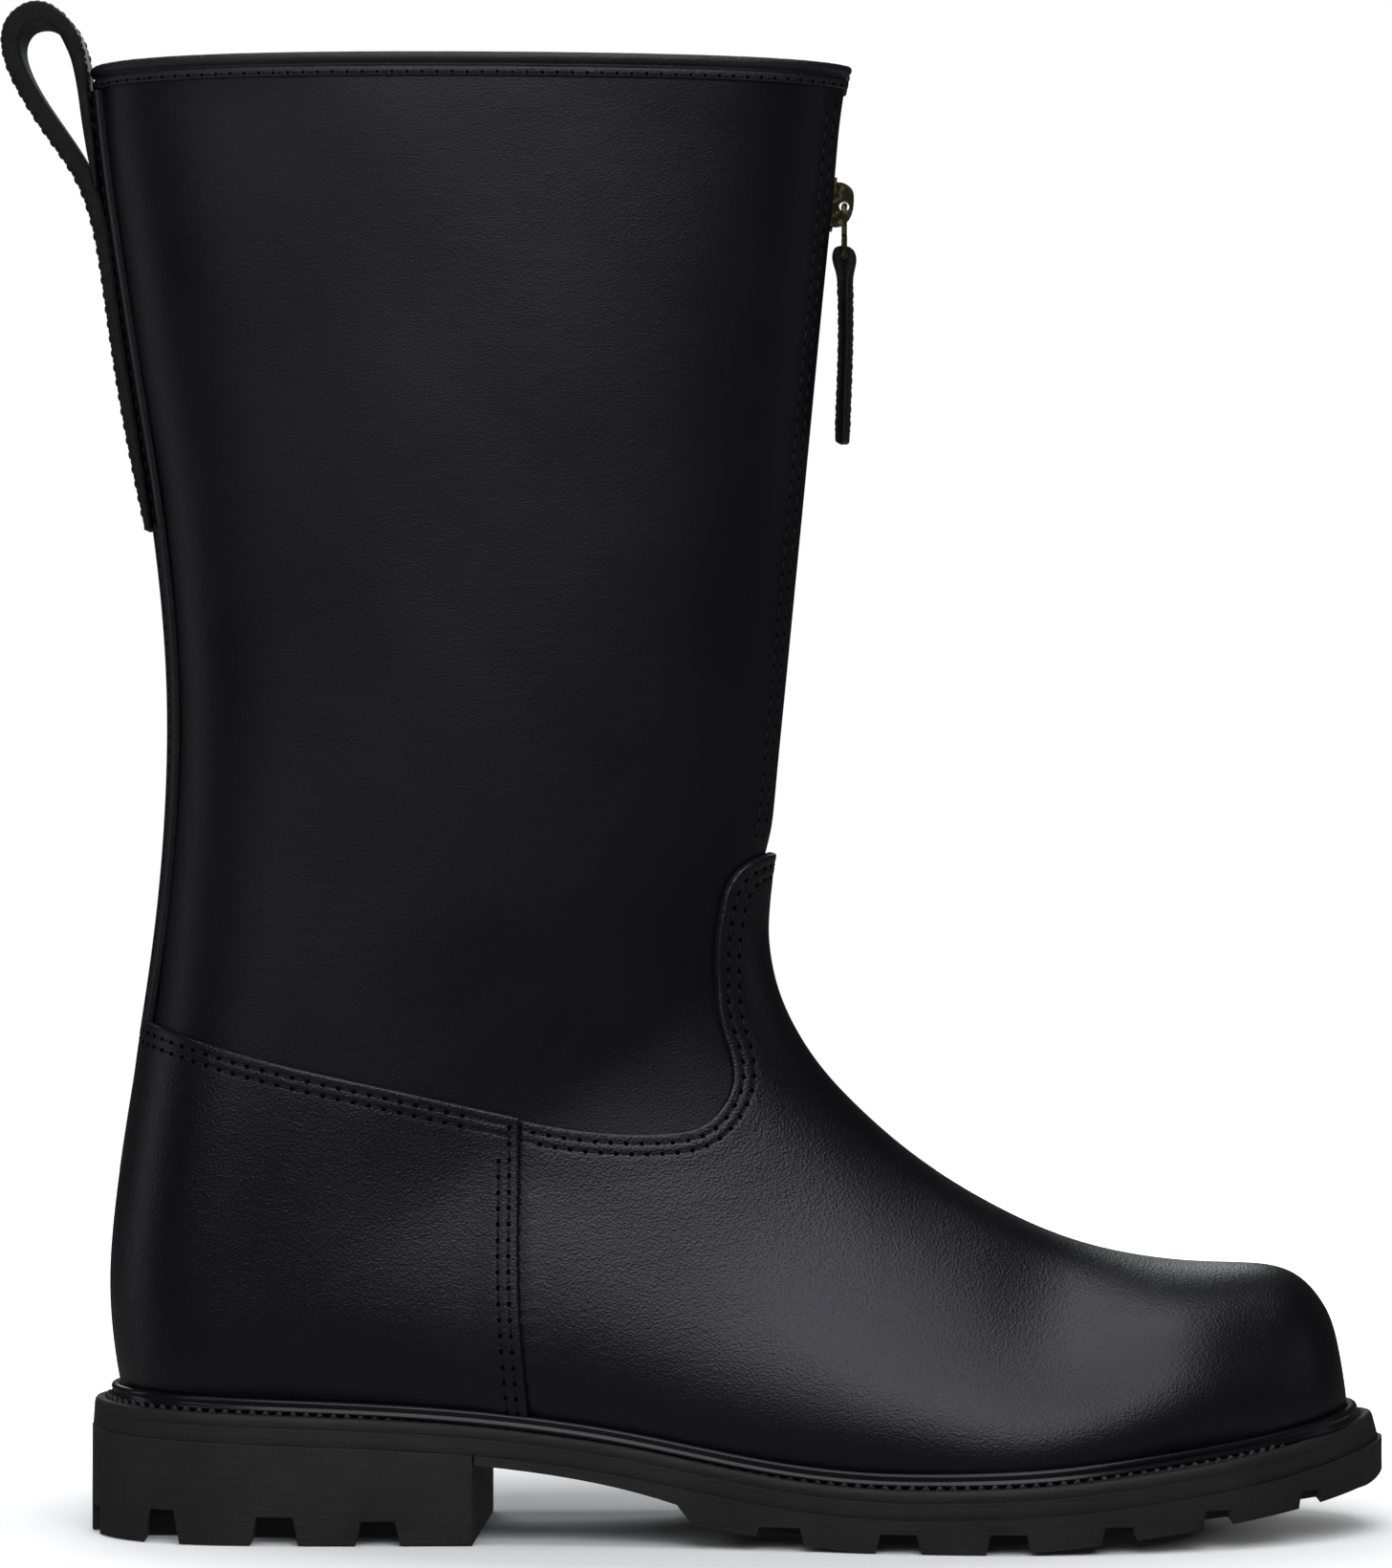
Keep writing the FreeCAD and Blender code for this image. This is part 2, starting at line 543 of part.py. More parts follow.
def heel_block():
    top = profile(WELT_TOP, OUTSOLE_TOP, -1e9, 90 * KX)
    region = through_sides(outline_edges([top, [Vector(top[-1].x, 0, 0), Vector(top[0].x, 0, 0)]]))
    skew = HEEL_BREAST_SKEW
    breast = HEEL_BREAST_X * KX
    plan = [Vector(-BIG, -FAR, -1), Vector(breast - skew * FAR / 35, -FAR, -1),
            Vector(breast + skew * FAR / 35, FAR, -1), Vector(-BIG, FAR, -1), Vector(-BIG, -FAR, -1)]
    behind_breast = Part.Face(Part.makePolygon(plan)).extrude(Vector(0, 0, BIG))
    block = plan_prism(0.0).common(region).common(behind_breast)
    cuts = []
    for x0, x1, roof, half in HEEL_NOTCHES:
        cuts.append(notch(x0, x1, roof, 1, EDGE_LUG_REACH, half))
        cuts.append(notch(x0, x1, roof, -1, EDGE_LUG_REACH, half))
    for side in (-1, 1):
        low, high = sorted((side * 5.5, side * 13.0))
        cuts.append(box(-BIG, BACK_NOTCH_X * KX, low, high, -1, BACK_NOTCH_ROOF))
    for x0, x1 in HEEL_POCKETS:
        cuts.append(box(x0 * KX, x1 * KX, -HEEL_POCKET_HALF, HEEL_POCKET_HALF, -1, HEEL_POCKET_ROOF))
    for x0 in HEEL_GROOVES:
        cuts.append(box(x0 * KX, x0 * KX + HEEL_GROOVE_WIDTH, -HEEL_GROOVE_HALF, HEEL_GROOVE_HALF,
                        -1, HEEL_GROOVE_ROOF))
    for hole in nails(NAIL_RADIUS + SEAT, NAIL_HEAD_RADIUS + SEAT, SEAT):
        cuts.append(hole)
    return one(block.cut(cuts))


def outsole():
    skew = HEEL_BREAST_SKEW
    breast = HEEL_BREAST_X * KX + 2 * SEAT
    plan = [Vector(breast - skew * FAR / 35, -FAR, -1), Vector(BIG, -FAR, -1), Vector(BIG, FAR, -1),
            Vector(breast + skew * FAR / 35, FAR, -1), Vector(breast - skew * FAR / 35, -FAR, -1)]
    ahead = Part.Face(Part.makePolygon(plan)).extrude(Vector(0, 0, BIG))
    waist = [side_point(p) for p in WAIST_UNDERSIDE]
    tread = [side_point(p) for p in TREAD_UNDERSIDE]
    toe = [side_point(p) for p in TOE_UNDERSIDE]
    edge = [side_point(p) for p in TOE_EDGE]
    top = profile(WELT_TOP, OUTSOLE_TOP, waist[0].x, 1e9)
    region = through_sides(outline_edges([
        waist, tread, toe, edge, [Vector(top[-1].x, 0, edge[-1].z + 1), top[-1]], top[::-1]]))
    slab_shape = plan_prism(0.0).common(region).common(ahead)
    cuts = []
    for x0, x1, roof, lateral, medial in TREAD_NOTCHES:
        cuts.append(notch(x0, x1, roof, -1, EDGE_LUG_REACH, lateral))
        cuts.append(notch(x0, x1, roof, 1, EDGE_LUG_REACH, medial))
    for x0, x1, roof in TREAD_CHANNELS:
        for y0, y1 in CHANNEL_SIDES:
            cuts.append(box(x0 * KX, x1 * KX, y0 * KY, y1 * KY, -1, roof))
    low, high = CHANNEL_SIDES[0][0] * KY, CHANNEL_SIDES[-1][1] * KY
    for x0, roof in CROSS_CHANNELS:
        cuts.append(box(x0 * KX, x0 * KX + CROSS_CHANNEL_WIDTH, low, high, -1, roof))
    return one(slab_shape.cut(cuts))


def sole_pieces(body):
    plan = plan_prism(0.0)
    inside = plan_prism(WELT_INNER_MARGIN)
    core = plan_prism(WELT_INNER_MARGIN + 2 * SEAT)
    shank_zone = slab(-WELT * 0.5 - SHANK_THICKNESS / 2, -WELT * 0.5 + SHANK_THICKNESS / 2, 22 * KX, 112 * KX)
    shank_pocket = slab(-WELT * 0.5 - SHANK_THICKNESS / 2 - SEAT, -WELT * 0.5 + SHANK_THICKNESS / 2 + SEAT,
                        22 * KX - SEAT, 112 * KX + SEAT)
    half = SHANK_WIDTH / 2
    shank = shank_zone.common(box(-BIG, BIG, -half, half, -1, BIG))
    pocket = shank_pocket.common(box(-BIG, BIG, -half - SEAT, half + SEAT, -1, BIG))
    holes = nails(NAIL_RADIUS + SEAT, NAIL_HEAD_RADIUS + SEAT, SEAT)
    insole_low = SEAT
    insole_high = insole_low + INSOLE
    return {
        "welt": one(plan.common(slab(-WELT, 0.0)).cut(inside)),
        "cork_filler": one(core.common(slab(-WELT, 0.0)).cut(pocket)),
        "shank": one(shank),
        "midsole": one(plan.common(slab(MIDSOLE_BOTTOM, MIDSOLE_TOP)).cut(holes)),
        "insole_board": one(body.loft(ROOM).common(slab(insole_low, insole_high))),
        "sock_liner": one(body.loft(ROOM).common(slab(insole_high + SEAT, insole_high + SEAT + SOCK))),
        "heel_block": heel_block(),
        "outsole": outsole(),
        "heel_nails": Part.Compound(nails(NAIL_RADIUS, NAIL_HEAD_RADIUS, 0.0)),
    }


# ---- zip ------------------------------------------------------------------------------------
class ZipLine:
    """Straight front line of the shaft, with its own directions: up along it and outwards."""

    def __init__(self):
        foot = side_point((ZIP_FOOT_X, ZIP_FOOT_Z))
        head = side_point((ZIP_FOOT_X + ZIP_LEAN * 100.0, ZIP_FOOT_Z + 100.0))
        self.foot = foot
        self.up = (head - foot).normalize()
        self.out = Vector(self.up.z, 0, -self.up.x)

    def at(self, z, out=0.0, y=0.0):
        along = (z - self.foot.z) / self.up.z
        return self.foot + self.up * along + self.out * out + Vector(0, y, 0)

    def place(self, shape, z):
        """Moves a shape drawn with X outwards and Z up the line to the line at height z."""
        angle = math.degrees(math.atan2(self.up.x, self.up.z))
        moved = shape.copy()
        moved.rotate(Vector(0, 0, 0), Vector(0, 1, 0), angle)
        moved.translate(self.at(z))
        return moved


def zip_heights():
    start = real(0, ZIP_START)[1]
    stop = real(0, ZIP_STOP_TOP)[1]
    return start, stop


def tooth_row(line, side):
    """Teeth of one row, each a small block clamped beside the tape's edge."""
    start, stop = zip_heights()
    count = int((stop - TOOTH_PITCH - start) / TOOTH_PITCH)
    shift = 0.0 if side < 0 else TOOTH_PITCH / 2
    low, high = sorted((side * TOOTH_HALF_GAP, side * TOOTH_OUTER))
    x0 = TOOTH_MIDDLE - TOOTH_THICKNESS / 2
    teeth = []
    for i in range(count):
        block = box(x0, x0 + TOOTH_THICKNESS, low, high, 0, TOOTH_LENGTH)
        teeth.append(line.place(block, start + shift + i * TOOTH_PITCH))
    return Part.Compound(teeth)


def zip_pieces(body, line):
    start, stop = zip_heights()
    tape_in = LINING_OUT - TAPE
    made = {}
    for side, name in ((-1, "lateral"), (1, "medial")):
        low, high = sorted((side * (TOOTH_OUTER + SEAT), side * TAPE_HALF))
        zone = box(80 * KX, BIG, low, high, start - 8.0, stop + 6.0)
        made["zipper_tape_" + name] = one(layer(body, LINING_OUT, tape_in, zone))
        made["zipper_teeth_" + name] = tooth_row(line, side)
    x0 = TOOTH_MIDDLE - TOOTH_THICKNESS / 2
    stops = []
    for side in (-1, 1):
        low, high = sorted((side * TOOTH_HALF_GAP, side * TOOTH_OUTER))
        block = box(x0, x0 + TOOTH_THICKNESS, low, high, 0, STOP_LENGTH)
        stops.append(line.place(block, stop))
    made["zipper_top_stops"] = Part.Compound(stops)
    bottom = box(x0, x0 + TOOTH_THICKNESS, -TOOTH_OUTER, TOOTH_OUTER, 0, 2.4)
    made["zipper_bottom_stop"] = line.place(bottom, start - STOP_LENGTH)
    return made


def slider_low():
    return real(0, SLIDER_LOW)[1]


def slider(line):
    """Two plates joined by a thin wedge between the tooth rows, with a bridge for the link."""
    tooth_face = TOOTH_MIDDLE + TOOTH_THICKNESS / 2
    tooth_back = TOOTH_MIDDLE - TOOTH_THICKNESS / 2
    outer_low = tooth_face + SLIDER_CLEARANCE
    inner_high = tooth_back - SLIDER_CLEARANCE - 0.2
    half = SLIDER_HALF_WIDTH
    outer = box(outer_low, outer_low + PLATE, -half, half, 0, SLIDER_LENGTH)
    outer = outer.makeFillet(0.8, [e for e in outer.Edges if abs(e.Vertexes[0].Z - e.Vertexes[1].Z) < 1e-6
                                   and abs(e.Vertexes[0].Y - e.Vertexes[1].Y) < 1e-6])
    inner = box(inner_high - PLATE * 0.8, inner_high, -half + 0.8, half - 0.8, 0, SLIDER_LENGTH)
    wedge = box(inner_high, outer_low, -0.5, 0.5, SLIDER_LENGTH - 4.5, SLIDER_LENGTH - 0.5)
    flanges = []
    for side in (-1, 1):
        low, high = sorted((side * (TOOTH_OUTER + 0.35), side * half))
        flanges.append(box(outer_low - 0.5, outer_low, low, high, 0.6, SLIDER_LENGTH - 0.6))
    base = outer_low + PLATE
    top = BRIDGE_TOP
    outline = [Vector(base - 0.2, 0, 1.0), Vector(top - 2.0, 0, 1.6), Vector(top - 0.6, 0, 3.2),
               Vector(top, 0, 8.0), Vector(top - 0.5, 0, 10.0), Vector(top - 1.9, 0, 11.2),
               Vector(base - 0.2, 0, 11.6)]
    edge = spline(outline).toShape()
    bridge = Part.Face(Part.Wire([edge, Part.makeLine(outline[-1], outline[0])]))
    bridge.translate(Vector(0, -BRIDGE_HALF_WIDTH, 0))
    bridge = bridge.extrude(Vector(0, 2 * BRIDGE_HALF_WIDTH, 0))
    made = outer.fuse([inner, wedge, bridge] + flanges)
    made = line.place(made, slider_low())
    axis = link_axis(line)
    eye_radius = LINK_BAR_RADIUS + EYE_CLEARANCE
    eye = Part.makeCylinder(eye_radius, 10, axis + Vector(0, -5, 0), Vector(0, 1, 0))
    return one(made.cut(eye))


def link_axis(line):
    """Axis of the link's upper bar, inside the slider's bridge."""
    z = real(0, LINK_AXIS_Z)[1]
    reference = ZIP_FOOT_X + ZIP_LEAN * (LINK_AXIS_Z - ZIP_FOOT_Z)
    return line.at(z, out=LINK_AXIS_X - reference)


def frame_plate(x, half_thickness, y_half, z_low, z_high):
    return box(x - half_thickness, x + half_thickness, -y_half, y_half, z_low, z_high)


def pull_link(line):
    """Small frame: a bar through the slider's bridge above, a bar for the leather pull below."""
    axis = link_axis(line)
    x, z = axis.x, axis.z
    drop = LINK_DROP
    half = LINK_HALF_THICKNESS
    wide, wall = LINK_UPPER_HALF, LINK_WALL
    low_wide = LINK_LOWER_HALF
    waist = z - 7.0
    upper = frame_plate(x, half, wide, waist, z)
    upper = upper.cut(frame_plate(x, 2, wide - wall, waist + wall, z + 1))
    neck = frame_plate(x, half, wide / 2, waist - 0.6, waist + 0.1)
    lower = frame_plate(x, half, low_wide, z - drop, waist - 0.5)
    lower = lower.cut(frame_plate(x, 2, low_wide - wall, z - drop, waist - 0.5 - wall))
    bar = Part.makeCylinder(LINK_BAR_RADIUS, 2 * wide, Vector(x, -wide, z), Vector(0, 1, 0))
    low_bar = Part.makeCylinder(LINK_LOWER_BAR_RADIUS, 2 * low_wide, Vector(x, -low_wide, z - drop),
                                Vector(0, 1, 0))
    return one(upper.fuse([neck, lower, bar, low_bar]))


def pull_strap(line):
    """Leather folded over the link's lower bar and stitched to itself below."""
    axis = link_axis(line)
    x = axis.x
    z = axis.z - LINK_DROP
    fold_half = FOLD_HALF_WIDTH
    fold_radius = FOLD_RADIUS
    fold = Part.makeCylinder(fold_radius, 2 * fold_half, Vector(x, -fold_half, z), Vector(0, 1, 0))
    half = PULL_THICKNESS / 2
    shoulder = SHOULDER_DROP
    neck = [Vector(x - fold_radius, 0, z), Vector(x + fold_radius, 0, z), Vector(x + half, 0, z - shoulder - 2),
            Vector(x - half, 0, z - shoulder - 2), Vector(x - fold_radius, 0, z)]
    neck = Part.Face(Part.makePolygon(neck))
    neck.translate(Vector(0, -fold_half, 0))
    neck = neck.extrude(Vector(0, 2 * fold_half, 0))
    strap = box(x - half, x + half, -PULL_WIDTH / 2, PULL_WIDTH / 2, z - PULL_LENGTH, z - shoulder)
    strap = strap.makeFillet(PULL_CORNER, [e for e in strap.Edges if abs(e.Vertexes[0].X - e.Vertexes[1].X) > 1])
    strap.rotate(Vector(x, 0, z), Vector(0, 0, 1), PULL_TWIST)
    made = fold.fuse([neck, strap])
    hole = Part.makeCylinder(LINK_LOWER_BAR_RADIUS + SLIDER_CLEARANCE, 20, Vector(x, -10, z), Vector(0, 1, 0))
    return one(made.cut(hole))


# ---- everything -----------------------------------------------------------------------------
def build():
    body = BodySurface(SECTIONS)
    line = ZipLine()
    pieces = {}
    pieces.update(foot_pieces(body))
    pieces.update(shaft_pieces(body))
    pieces.update(sole_pieces(body))
    pieces.update(zip_pieces(body, line))
    pieces["welt_rand"] = rand(body)
    pieces["topline_binding"] = binding(body)
    pieces["back_strap"] = back_strap(body)
    pieces["pull_loop"] = pull_loop(body)
    pieces["zipper_slider"] = slider(line)
    pieces["zipper_pull_link"] = pull_link(line)
    pieces["zipper_pull_strap"] = pull_strap(line)
    return pieces


def main():
    os.makedirs("parts", exist_ok=True)
    for name, shape in build().items():
        size = shape.BoundBox
        print(f"{name:22s} solids {len(shape.Solids):3d} valid {shape.isValid()} volume {shape.Volume:10.1f}"
              f"  x {size.XMin:7.1f} {size.XMax:7.1f}  y {size.YMin:6.1f} {size.YMax:6.1f}"
              f"  z {size.ZMin:6.1f} {size.ZMax:6.1f}")
        shape.exportStep("parts/" + name + ".step")


main()
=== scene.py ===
"""Looks of a right mid-calf leather boot with a front zip, a pull loop and a lugged sole.

Every layer of the upper is an offset of one body surface, the outer face of the shaft leather.
Sizes are in millimetres until a mesh is made; +X is towards the toe, +Y medial, +Z up.
"""
from __future__ import annotations

import logging
import math
from dataclasses import dataclass, field
from enum import Enum
from functools import reduce
from typing import Callable, Sequence, Union

import bmesh
import bpy
import numpy as np
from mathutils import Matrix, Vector


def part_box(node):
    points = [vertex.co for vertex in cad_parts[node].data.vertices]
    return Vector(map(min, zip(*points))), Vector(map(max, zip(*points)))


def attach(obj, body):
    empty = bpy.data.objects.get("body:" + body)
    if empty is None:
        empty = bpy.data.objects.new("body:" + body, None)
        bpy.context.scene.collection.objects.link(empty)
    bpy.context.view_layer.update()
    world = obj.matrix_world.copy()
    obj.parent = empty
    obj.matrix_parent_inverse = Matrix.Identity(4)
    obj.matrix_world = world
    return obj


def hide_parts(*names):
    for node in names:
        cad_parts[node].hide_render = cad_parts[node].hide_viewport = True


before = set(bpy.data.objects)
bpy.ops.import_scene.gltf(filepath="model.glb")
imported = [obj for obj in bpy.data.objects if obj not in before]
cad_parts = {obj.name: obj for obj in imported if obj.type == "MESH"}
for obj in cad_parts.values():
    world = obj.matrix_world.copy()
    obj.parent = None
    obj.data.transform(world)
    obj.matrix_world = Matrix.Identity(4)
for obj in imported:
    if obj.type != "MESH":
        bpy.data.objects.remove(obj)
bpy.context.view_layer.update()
LOG = logging.getLogger("boot")
MM = 0.001
Array = np.ndarray
Field = Callable[[Array], Array]
Socket = bpy.types.NodeSocket
Value = Union[Socket, float]

# Section shapes: three weights of the squared half-width, at the low end, middle and top.
TOE = (6.5, 2.5, 2.8)
ARCH = (8.8, 1.25, 1.5)
SHAFT = (6.5, 2.8, 5.0)

# Fan of sections: low end (x, z), top end (x, z), middle y, lateral and medial half-width, shape.
SECTIONS = [
    ((265.2, 29.4), (265.2, 32.8), 5.0, 2.2, 2.2, TOE),
    ((264.6, 26.0), (264.6, 36.4), 5.0, 7.5, 7.0, TOE),
    ((262.2, 21.0), (262.9, 45.4), 5.0, 15.0, 14.5, TOE),
    ((257.5, 18.3), (260.2, 52.6), 4.8, 22.0, 21.0, TOE),
    ((250.0, 16.3), (254.0, 59.3), 4.6, 29.0, 28.4, TOE),
    ((238.0, 13.5), (243.5, 61.7), 4.4, 35.6, 34.8, TOE),
    ((218.0, 9.0), (226.0, 62.4), 3.5, 42.6, 40.5, TOE),
    ((190.0, 4.5), (203.0, 66.9), 2.0, 45.6, 44.4, ARCH),
    ((160.0, 3.0), (182.0, 75.6), 0.5, 43.8, 41.8, ARCH),
    ((128.0, 6.0), (163.0, 87.2), 0.0, 39.3, 36.4, (9.1, 1.2, 1.7)),
    ((95.0, 12.5), (147.5, 100.5), 0.0, 34.5, 32.5, (9.6, 1.1, 2.2)),
    ((60.0, 17.5), (136.3, 113.3), 0.0, 32.0, 30.5, (10.2, 1.1, 2.8)),
    ((25.0, 20.5), (128.6, 127.5), 0.0, 31.0, 30.5, (10.5, 0.85, 3.3)),
    ((-8.0, 22.5), (125.8, 139.5), 0.0, 30.7, 30.5, (10.5, 0.65, 3.7)),
    ((-24.0, 28.0), (125.6, 147.0), 0.0, 30.7, 30.7, (10.4, 0.5, 4.1)),
    ((-28.6, 43.0), (126.3, 155.0), 0.0, 30.6, 30.6, (10.2, 0.45, 4.4)),
    ((-29.7, 62.0), (127.5, 163.0), 0.0, 30.5, 30.5, (9.9, 0.5, 4.7)),
    ((-27.4, 87.0), (129.06, 170.0), 0.0, 30.3, 30.3, (9.4, 0.73, 4.95)),
    ((-23.0, 117.0), (130.22, 182.0), 0.0, 30.6, 30.6, (8.3, 1.5, 5.1)),
    ((-18.8, 147.0), (132.15, 202.0), 0.0, 31.0, 31.0, (7.2, 2.3, 5.05)),
    ((-16.4, 178.0), (134.27, 224.0), 0.0, 31.4, 31.4, (6.6, 2.7, 5.0)),
    ((-16.5, 209.0), (136.58, 248.0), 0.0, 31.9, 31.9, SHAFT),
    ((-19.6, 241.0), (138.99, 273.0), 0.0, 32.4, 32.4, SHAFT),
    ((-24.4, 272.0), (141.51, 299.0), 0.0, 32.9, 32.9, SHAFT),
    ((-29.3, 303.0), (144.0, 324.0), 0.0, 33.3, 33.3, SHAFT),
    ((-33.0, 329.0), (145.3, 338.0), 0.0, 33.5, 33.5, SHAFT),
    ((-35.4, 353.0), (147.4, 353.0), 0.0, 33.7, 33.7, SHAFT),
    ((-37.2, 378.0), (150.0, 378.0), 0.0, 33.8, 33.8, SHAFT),
]
WELT_TOP = [(-60, 33.2), (-36, 32.3), (6, 30.7), (40.5, 29.3), (66, 27.3), (92.9, 23.5),
            (127.1, 17.2), (152.7, 14.8), (172, 14.9), (192.5, 15.9), (216, 18.3),
            (236.3, 20.9), (257.7, 24.6), (275.8, 28.8), (300, 35.0)]
SOLE_OUTLINE = [(-36, 0), (-33.4, -12), (-27, -22.5), (-14, -31.2), (5, -34.6), (40, -35),
                (75, -35.2), (110, -39.8), (150, -48), (185, -52), (218, -47.6), (246, -35.5),
                (266, -17.5), (275.8, 4), (271, 22), (257, 36.5), (236, 47.5), (205, 54.3),
                (180, 51.5), (150, 44), (110, 35), (75, 31.8), (40, 33.2), (5, 34.4),
                (-14, 31.2), (-27, 22.5), (-33.4, 12)]
QUARTER_TOP = [(-50, 131.5), (-23, 123.1), (2.8, 115.4), (35.6, 107.8), (67.6, 100.4), (90, 95.3)]
QUARTER_FRONT = [(67.4, 120.0), (67.6, 100.4), (67.8, 82.5), (68.0, 58.8), (69.1, 44.2), (71.5, 20)]
VAMP_EDGE = [(55, 103.3), (68.4, 99.8), (80.9, 97.4), (93.3, 96.3), (103.4, 96.4), (111.3, 98.2),
             (115.8, 102.6), (118.1, 108.1), (117.4, 114.8), (115.1, 122.3), (114.2, 131.8),
             (114.2, 141.5), (115.1, 148.1), (116.7, 154.7), (119.7, 159.1), (123.2, 161.3),
             (129.1, 163.5), (140, 165.2)]
SHAFT_FOOT = [(-50, 120), (-20, 112.5), (35, 98), (66, 90.5), (90, 87.2), (106, 87.3),
              (119, 92), (126, 103), (125.5, 118), (123, 133), (123, 146), (126, 152), (140, 155.6)]
# Stations of the folded pull loop: outer face (x, z), inner face (x, z).
LOOP_STATIONS = [
    ((-22.9, 240.5), (-21.4, 240.8)), ((-23.6, 245.0), (-21.9, 245.2)),
    ((-26.1, 257.0), (-23.6, 257.3)), ((-29.7, 277.0), (-26.7, 277.3)),
    ((-32.6, 297.0), (-29.6, 297.3)), ((-35.3, 313.0), (-31.9, 313.8)),
    ((-39.6, 324.9), (-35.7, 326.2)), ((-46.0, 334.5), (-41.6, 336.2)),
    ((-53.0, 345.5), (-48.6, 346.6)), ((-56.9, 355.0), (-52.4, 355.4)),
    ((-56.2, 363.0), (-51.4, 360.4)), ((-50.5, 367.4), (-48.3, 362.0)),
    ((-44.6, 366.3), (-44.6, 361.0)), ((-39.6, 361.2), (-42.2, 357.4)),
    ((-37.2, 354.5), (-40.4, 352.9)), ((-36.3, 347.0), (-38.9, 345.6)),
    ((-35.3, 338.0), (-37.7, 337.0)), ((-34.4, 329.0), (-36.2, 328.6)),
    ((-33.9, 322.6), (-34.9, 322.3)),
]

BOOT_HEIGHT = 352.0       # ground to the top edge
EDGE_Z = 349.6            # cut top edge of the shaft leather
SEAT = 0.2                # air between two layers
FOOT_OUT = 1.8            # faces of the layers, as offsets from the body surface
FOOT_LEATHER = 1.6
SHAFT_IN = -2.0
LINING_OUT = -2.2
LINING_IN = -3.2
ROOM = -3.4
GAP_HALF = 4.9            # half the gap between the free front edges
STRAP_HALF = 9.0
TAPE_HALF = 14.0
SOLE_INNER = 18.0         # welt and midsole reach this far in from the outline
FRONT_X = 60.0            # what lies ahead of this is the front of the leg
SEAM_X = 68.0             # upright seam between quarter and vamp
ZIP_FOOT = (129.3, 172.5)
ZIP_LEAN = 0.0965
STITCH_PITCH = 3.65
WELT_PITCH = 3.2
FEATHER = 0.3             # the foot's leather ends this far above the welt
HALVINGS = 40             # steps of each search by halves


# ---- curves --------------------------------------------------------------------------------
class Spline:
    """Cubic through stations with equal second derivatives on both sides of each one.

    Between two stations the value is the straight blend of their values plus the cubic terms
    (a^3 - a) and (b^3 - b) times their second derivatives and a sixth of the squared step.
    """

    def __init__(self, stations: Sequence[float], values: Sequence) -> None:
        """Solves for the second derivatives.

        Args:
            stations: parameter of each station, rising.
            values: value or row of values at each station.
        """
        self.x = np.asarray(stations, float)
        y = np.asarray(values, float)
        self.flat = y.ndim == 1
        self.y = y[:, None] if self.flat else y
        n = len(self.x)
        h = np.diff(self.x)
        matrix = np.zeros((n, n))
        rhs = np.zeros_like(self.y)
        i = np.arange(1, n - 1)
        matrix[i, i - 1], matrix[i, i], matrix[i, i + 1] = h[:-1], 2 * (h[:-1] + h[1:]), h[1:]
        slope = np.diff(self.y, axis=0) / h[:, None]
        rhs[i] = 6 * np.diff(slope, axis=0)
        matrix[0, :3] = h[1], -(h[0] + h[1]), h[0]
        matrix[-1, -3:] = h[-1], -(h[-2] + h[-1]), h[-2]
        self.bend = np.linalg.solve(matrix, rhs)

    def __call__(self, t: Array) -> Array:
        """Values at the parameters t."""
        t = np.asarray(t, float)
        i = np.clip(np.searchsorted(self.x, t) - 1, 0, len(self.x) - 2)
        h = (self.x[i + 1] - self.x[i])[..., None]
        b = (t - self.x[i])[..., None] / h
        a = 1 - b
        bend = (a ** 3 - a) * self.bend[i] + (b ** 3 - b) * self.bend[i + 1]
        value = a * self.y[i] + b * self.y[i + 1] + bend * h * h / 6
        return value[..., 0] if self.flat else value


def chord(points: Array) -> Array:
    """Running length along a polyline."""
    return np.concatenate([[0.0], np.cumsum(np.linalg.norm(np.diff(points, axis=0), axis=1))])


def smooth_curve(points: Sequence, step: float) -> Array:
    """Points about step apart on the spline through the given points.

    Args:
        points: rows of coordinates.
        step: distance between the results.

    Returns:
        Rows of coordinates.
    """
    rows = np.asarray(points, float)
    length = chord(rows)
    dense = Spline(length, rows)(np.linspace(0, length[-1], max(int(length[-1] / step * 4), 8)))
    return even(dense, step)


def even(path: Array, step: float, closed: bool = False) -> Array:
    """Points at equal distances along a polyline.

    Args:
        path: dense polyline; a closed one repeats its first point at the end.
        step: wanted distance.
        closed: leaves out the last point.

    Returns:
        Rows of coordinates.
    """
    length = chord(path)
    count = max(int(round(length[-1] / step)), 2)
    at = np.linspace(0, length[-1], count + 1)
    rows = np.stack([np.interp(at, length, path[:, k]) for k in range(path.shape[1])], axis=1)
    return rows[:-1] if closed else rows


def closed_curve(points: Sequence, count: int) -> Array:
    """Points at equal distances on the closed spline through the given points.

    Args:
        points: rows of coordinates, without a repeat of the first.
        count: how many points come back.

    Returns:
        Rows of coordinates.
    """
    rows = np.asarray(points, float)
    lap = 5
    wrapped = np.concatenate([rows[-lap:], rows, rows[:lap + 1]])
    length = chord(wrapped)
    start, end = length[lap], length[lap + len(rows)]
    dense = Spline(length, wrapped)(np.linspace(start, end, count * 6 + 1))
    total = chord(dense)[-1]
    return even(dense, total / count, closed=True)


def smoothstep(x: Array, low: float, high: float) -> Array:
    """0 below low, 1 above high, and 3u^2 - 2u^3 between."""
    u = np.clip((x - low) / (high - low), 0, 1)
    return u * u * (3 - 2 * u)


def unit(v: Array) -> Array:
    """Rows scaled to length one."""
    return v / np.maximum(np.linalg.norm(v, axis=-1, keepdims=True), 1e-12)


WELT_LINE = Spline([p[0] for p in WELT_TOP], [p[1] for p in WELT_TOP])


def above_welt(p: Array) -> Array:
    """Height of points above the welt's top."""
    return p[:, 2] - WELT_LINE(p[:, 0])


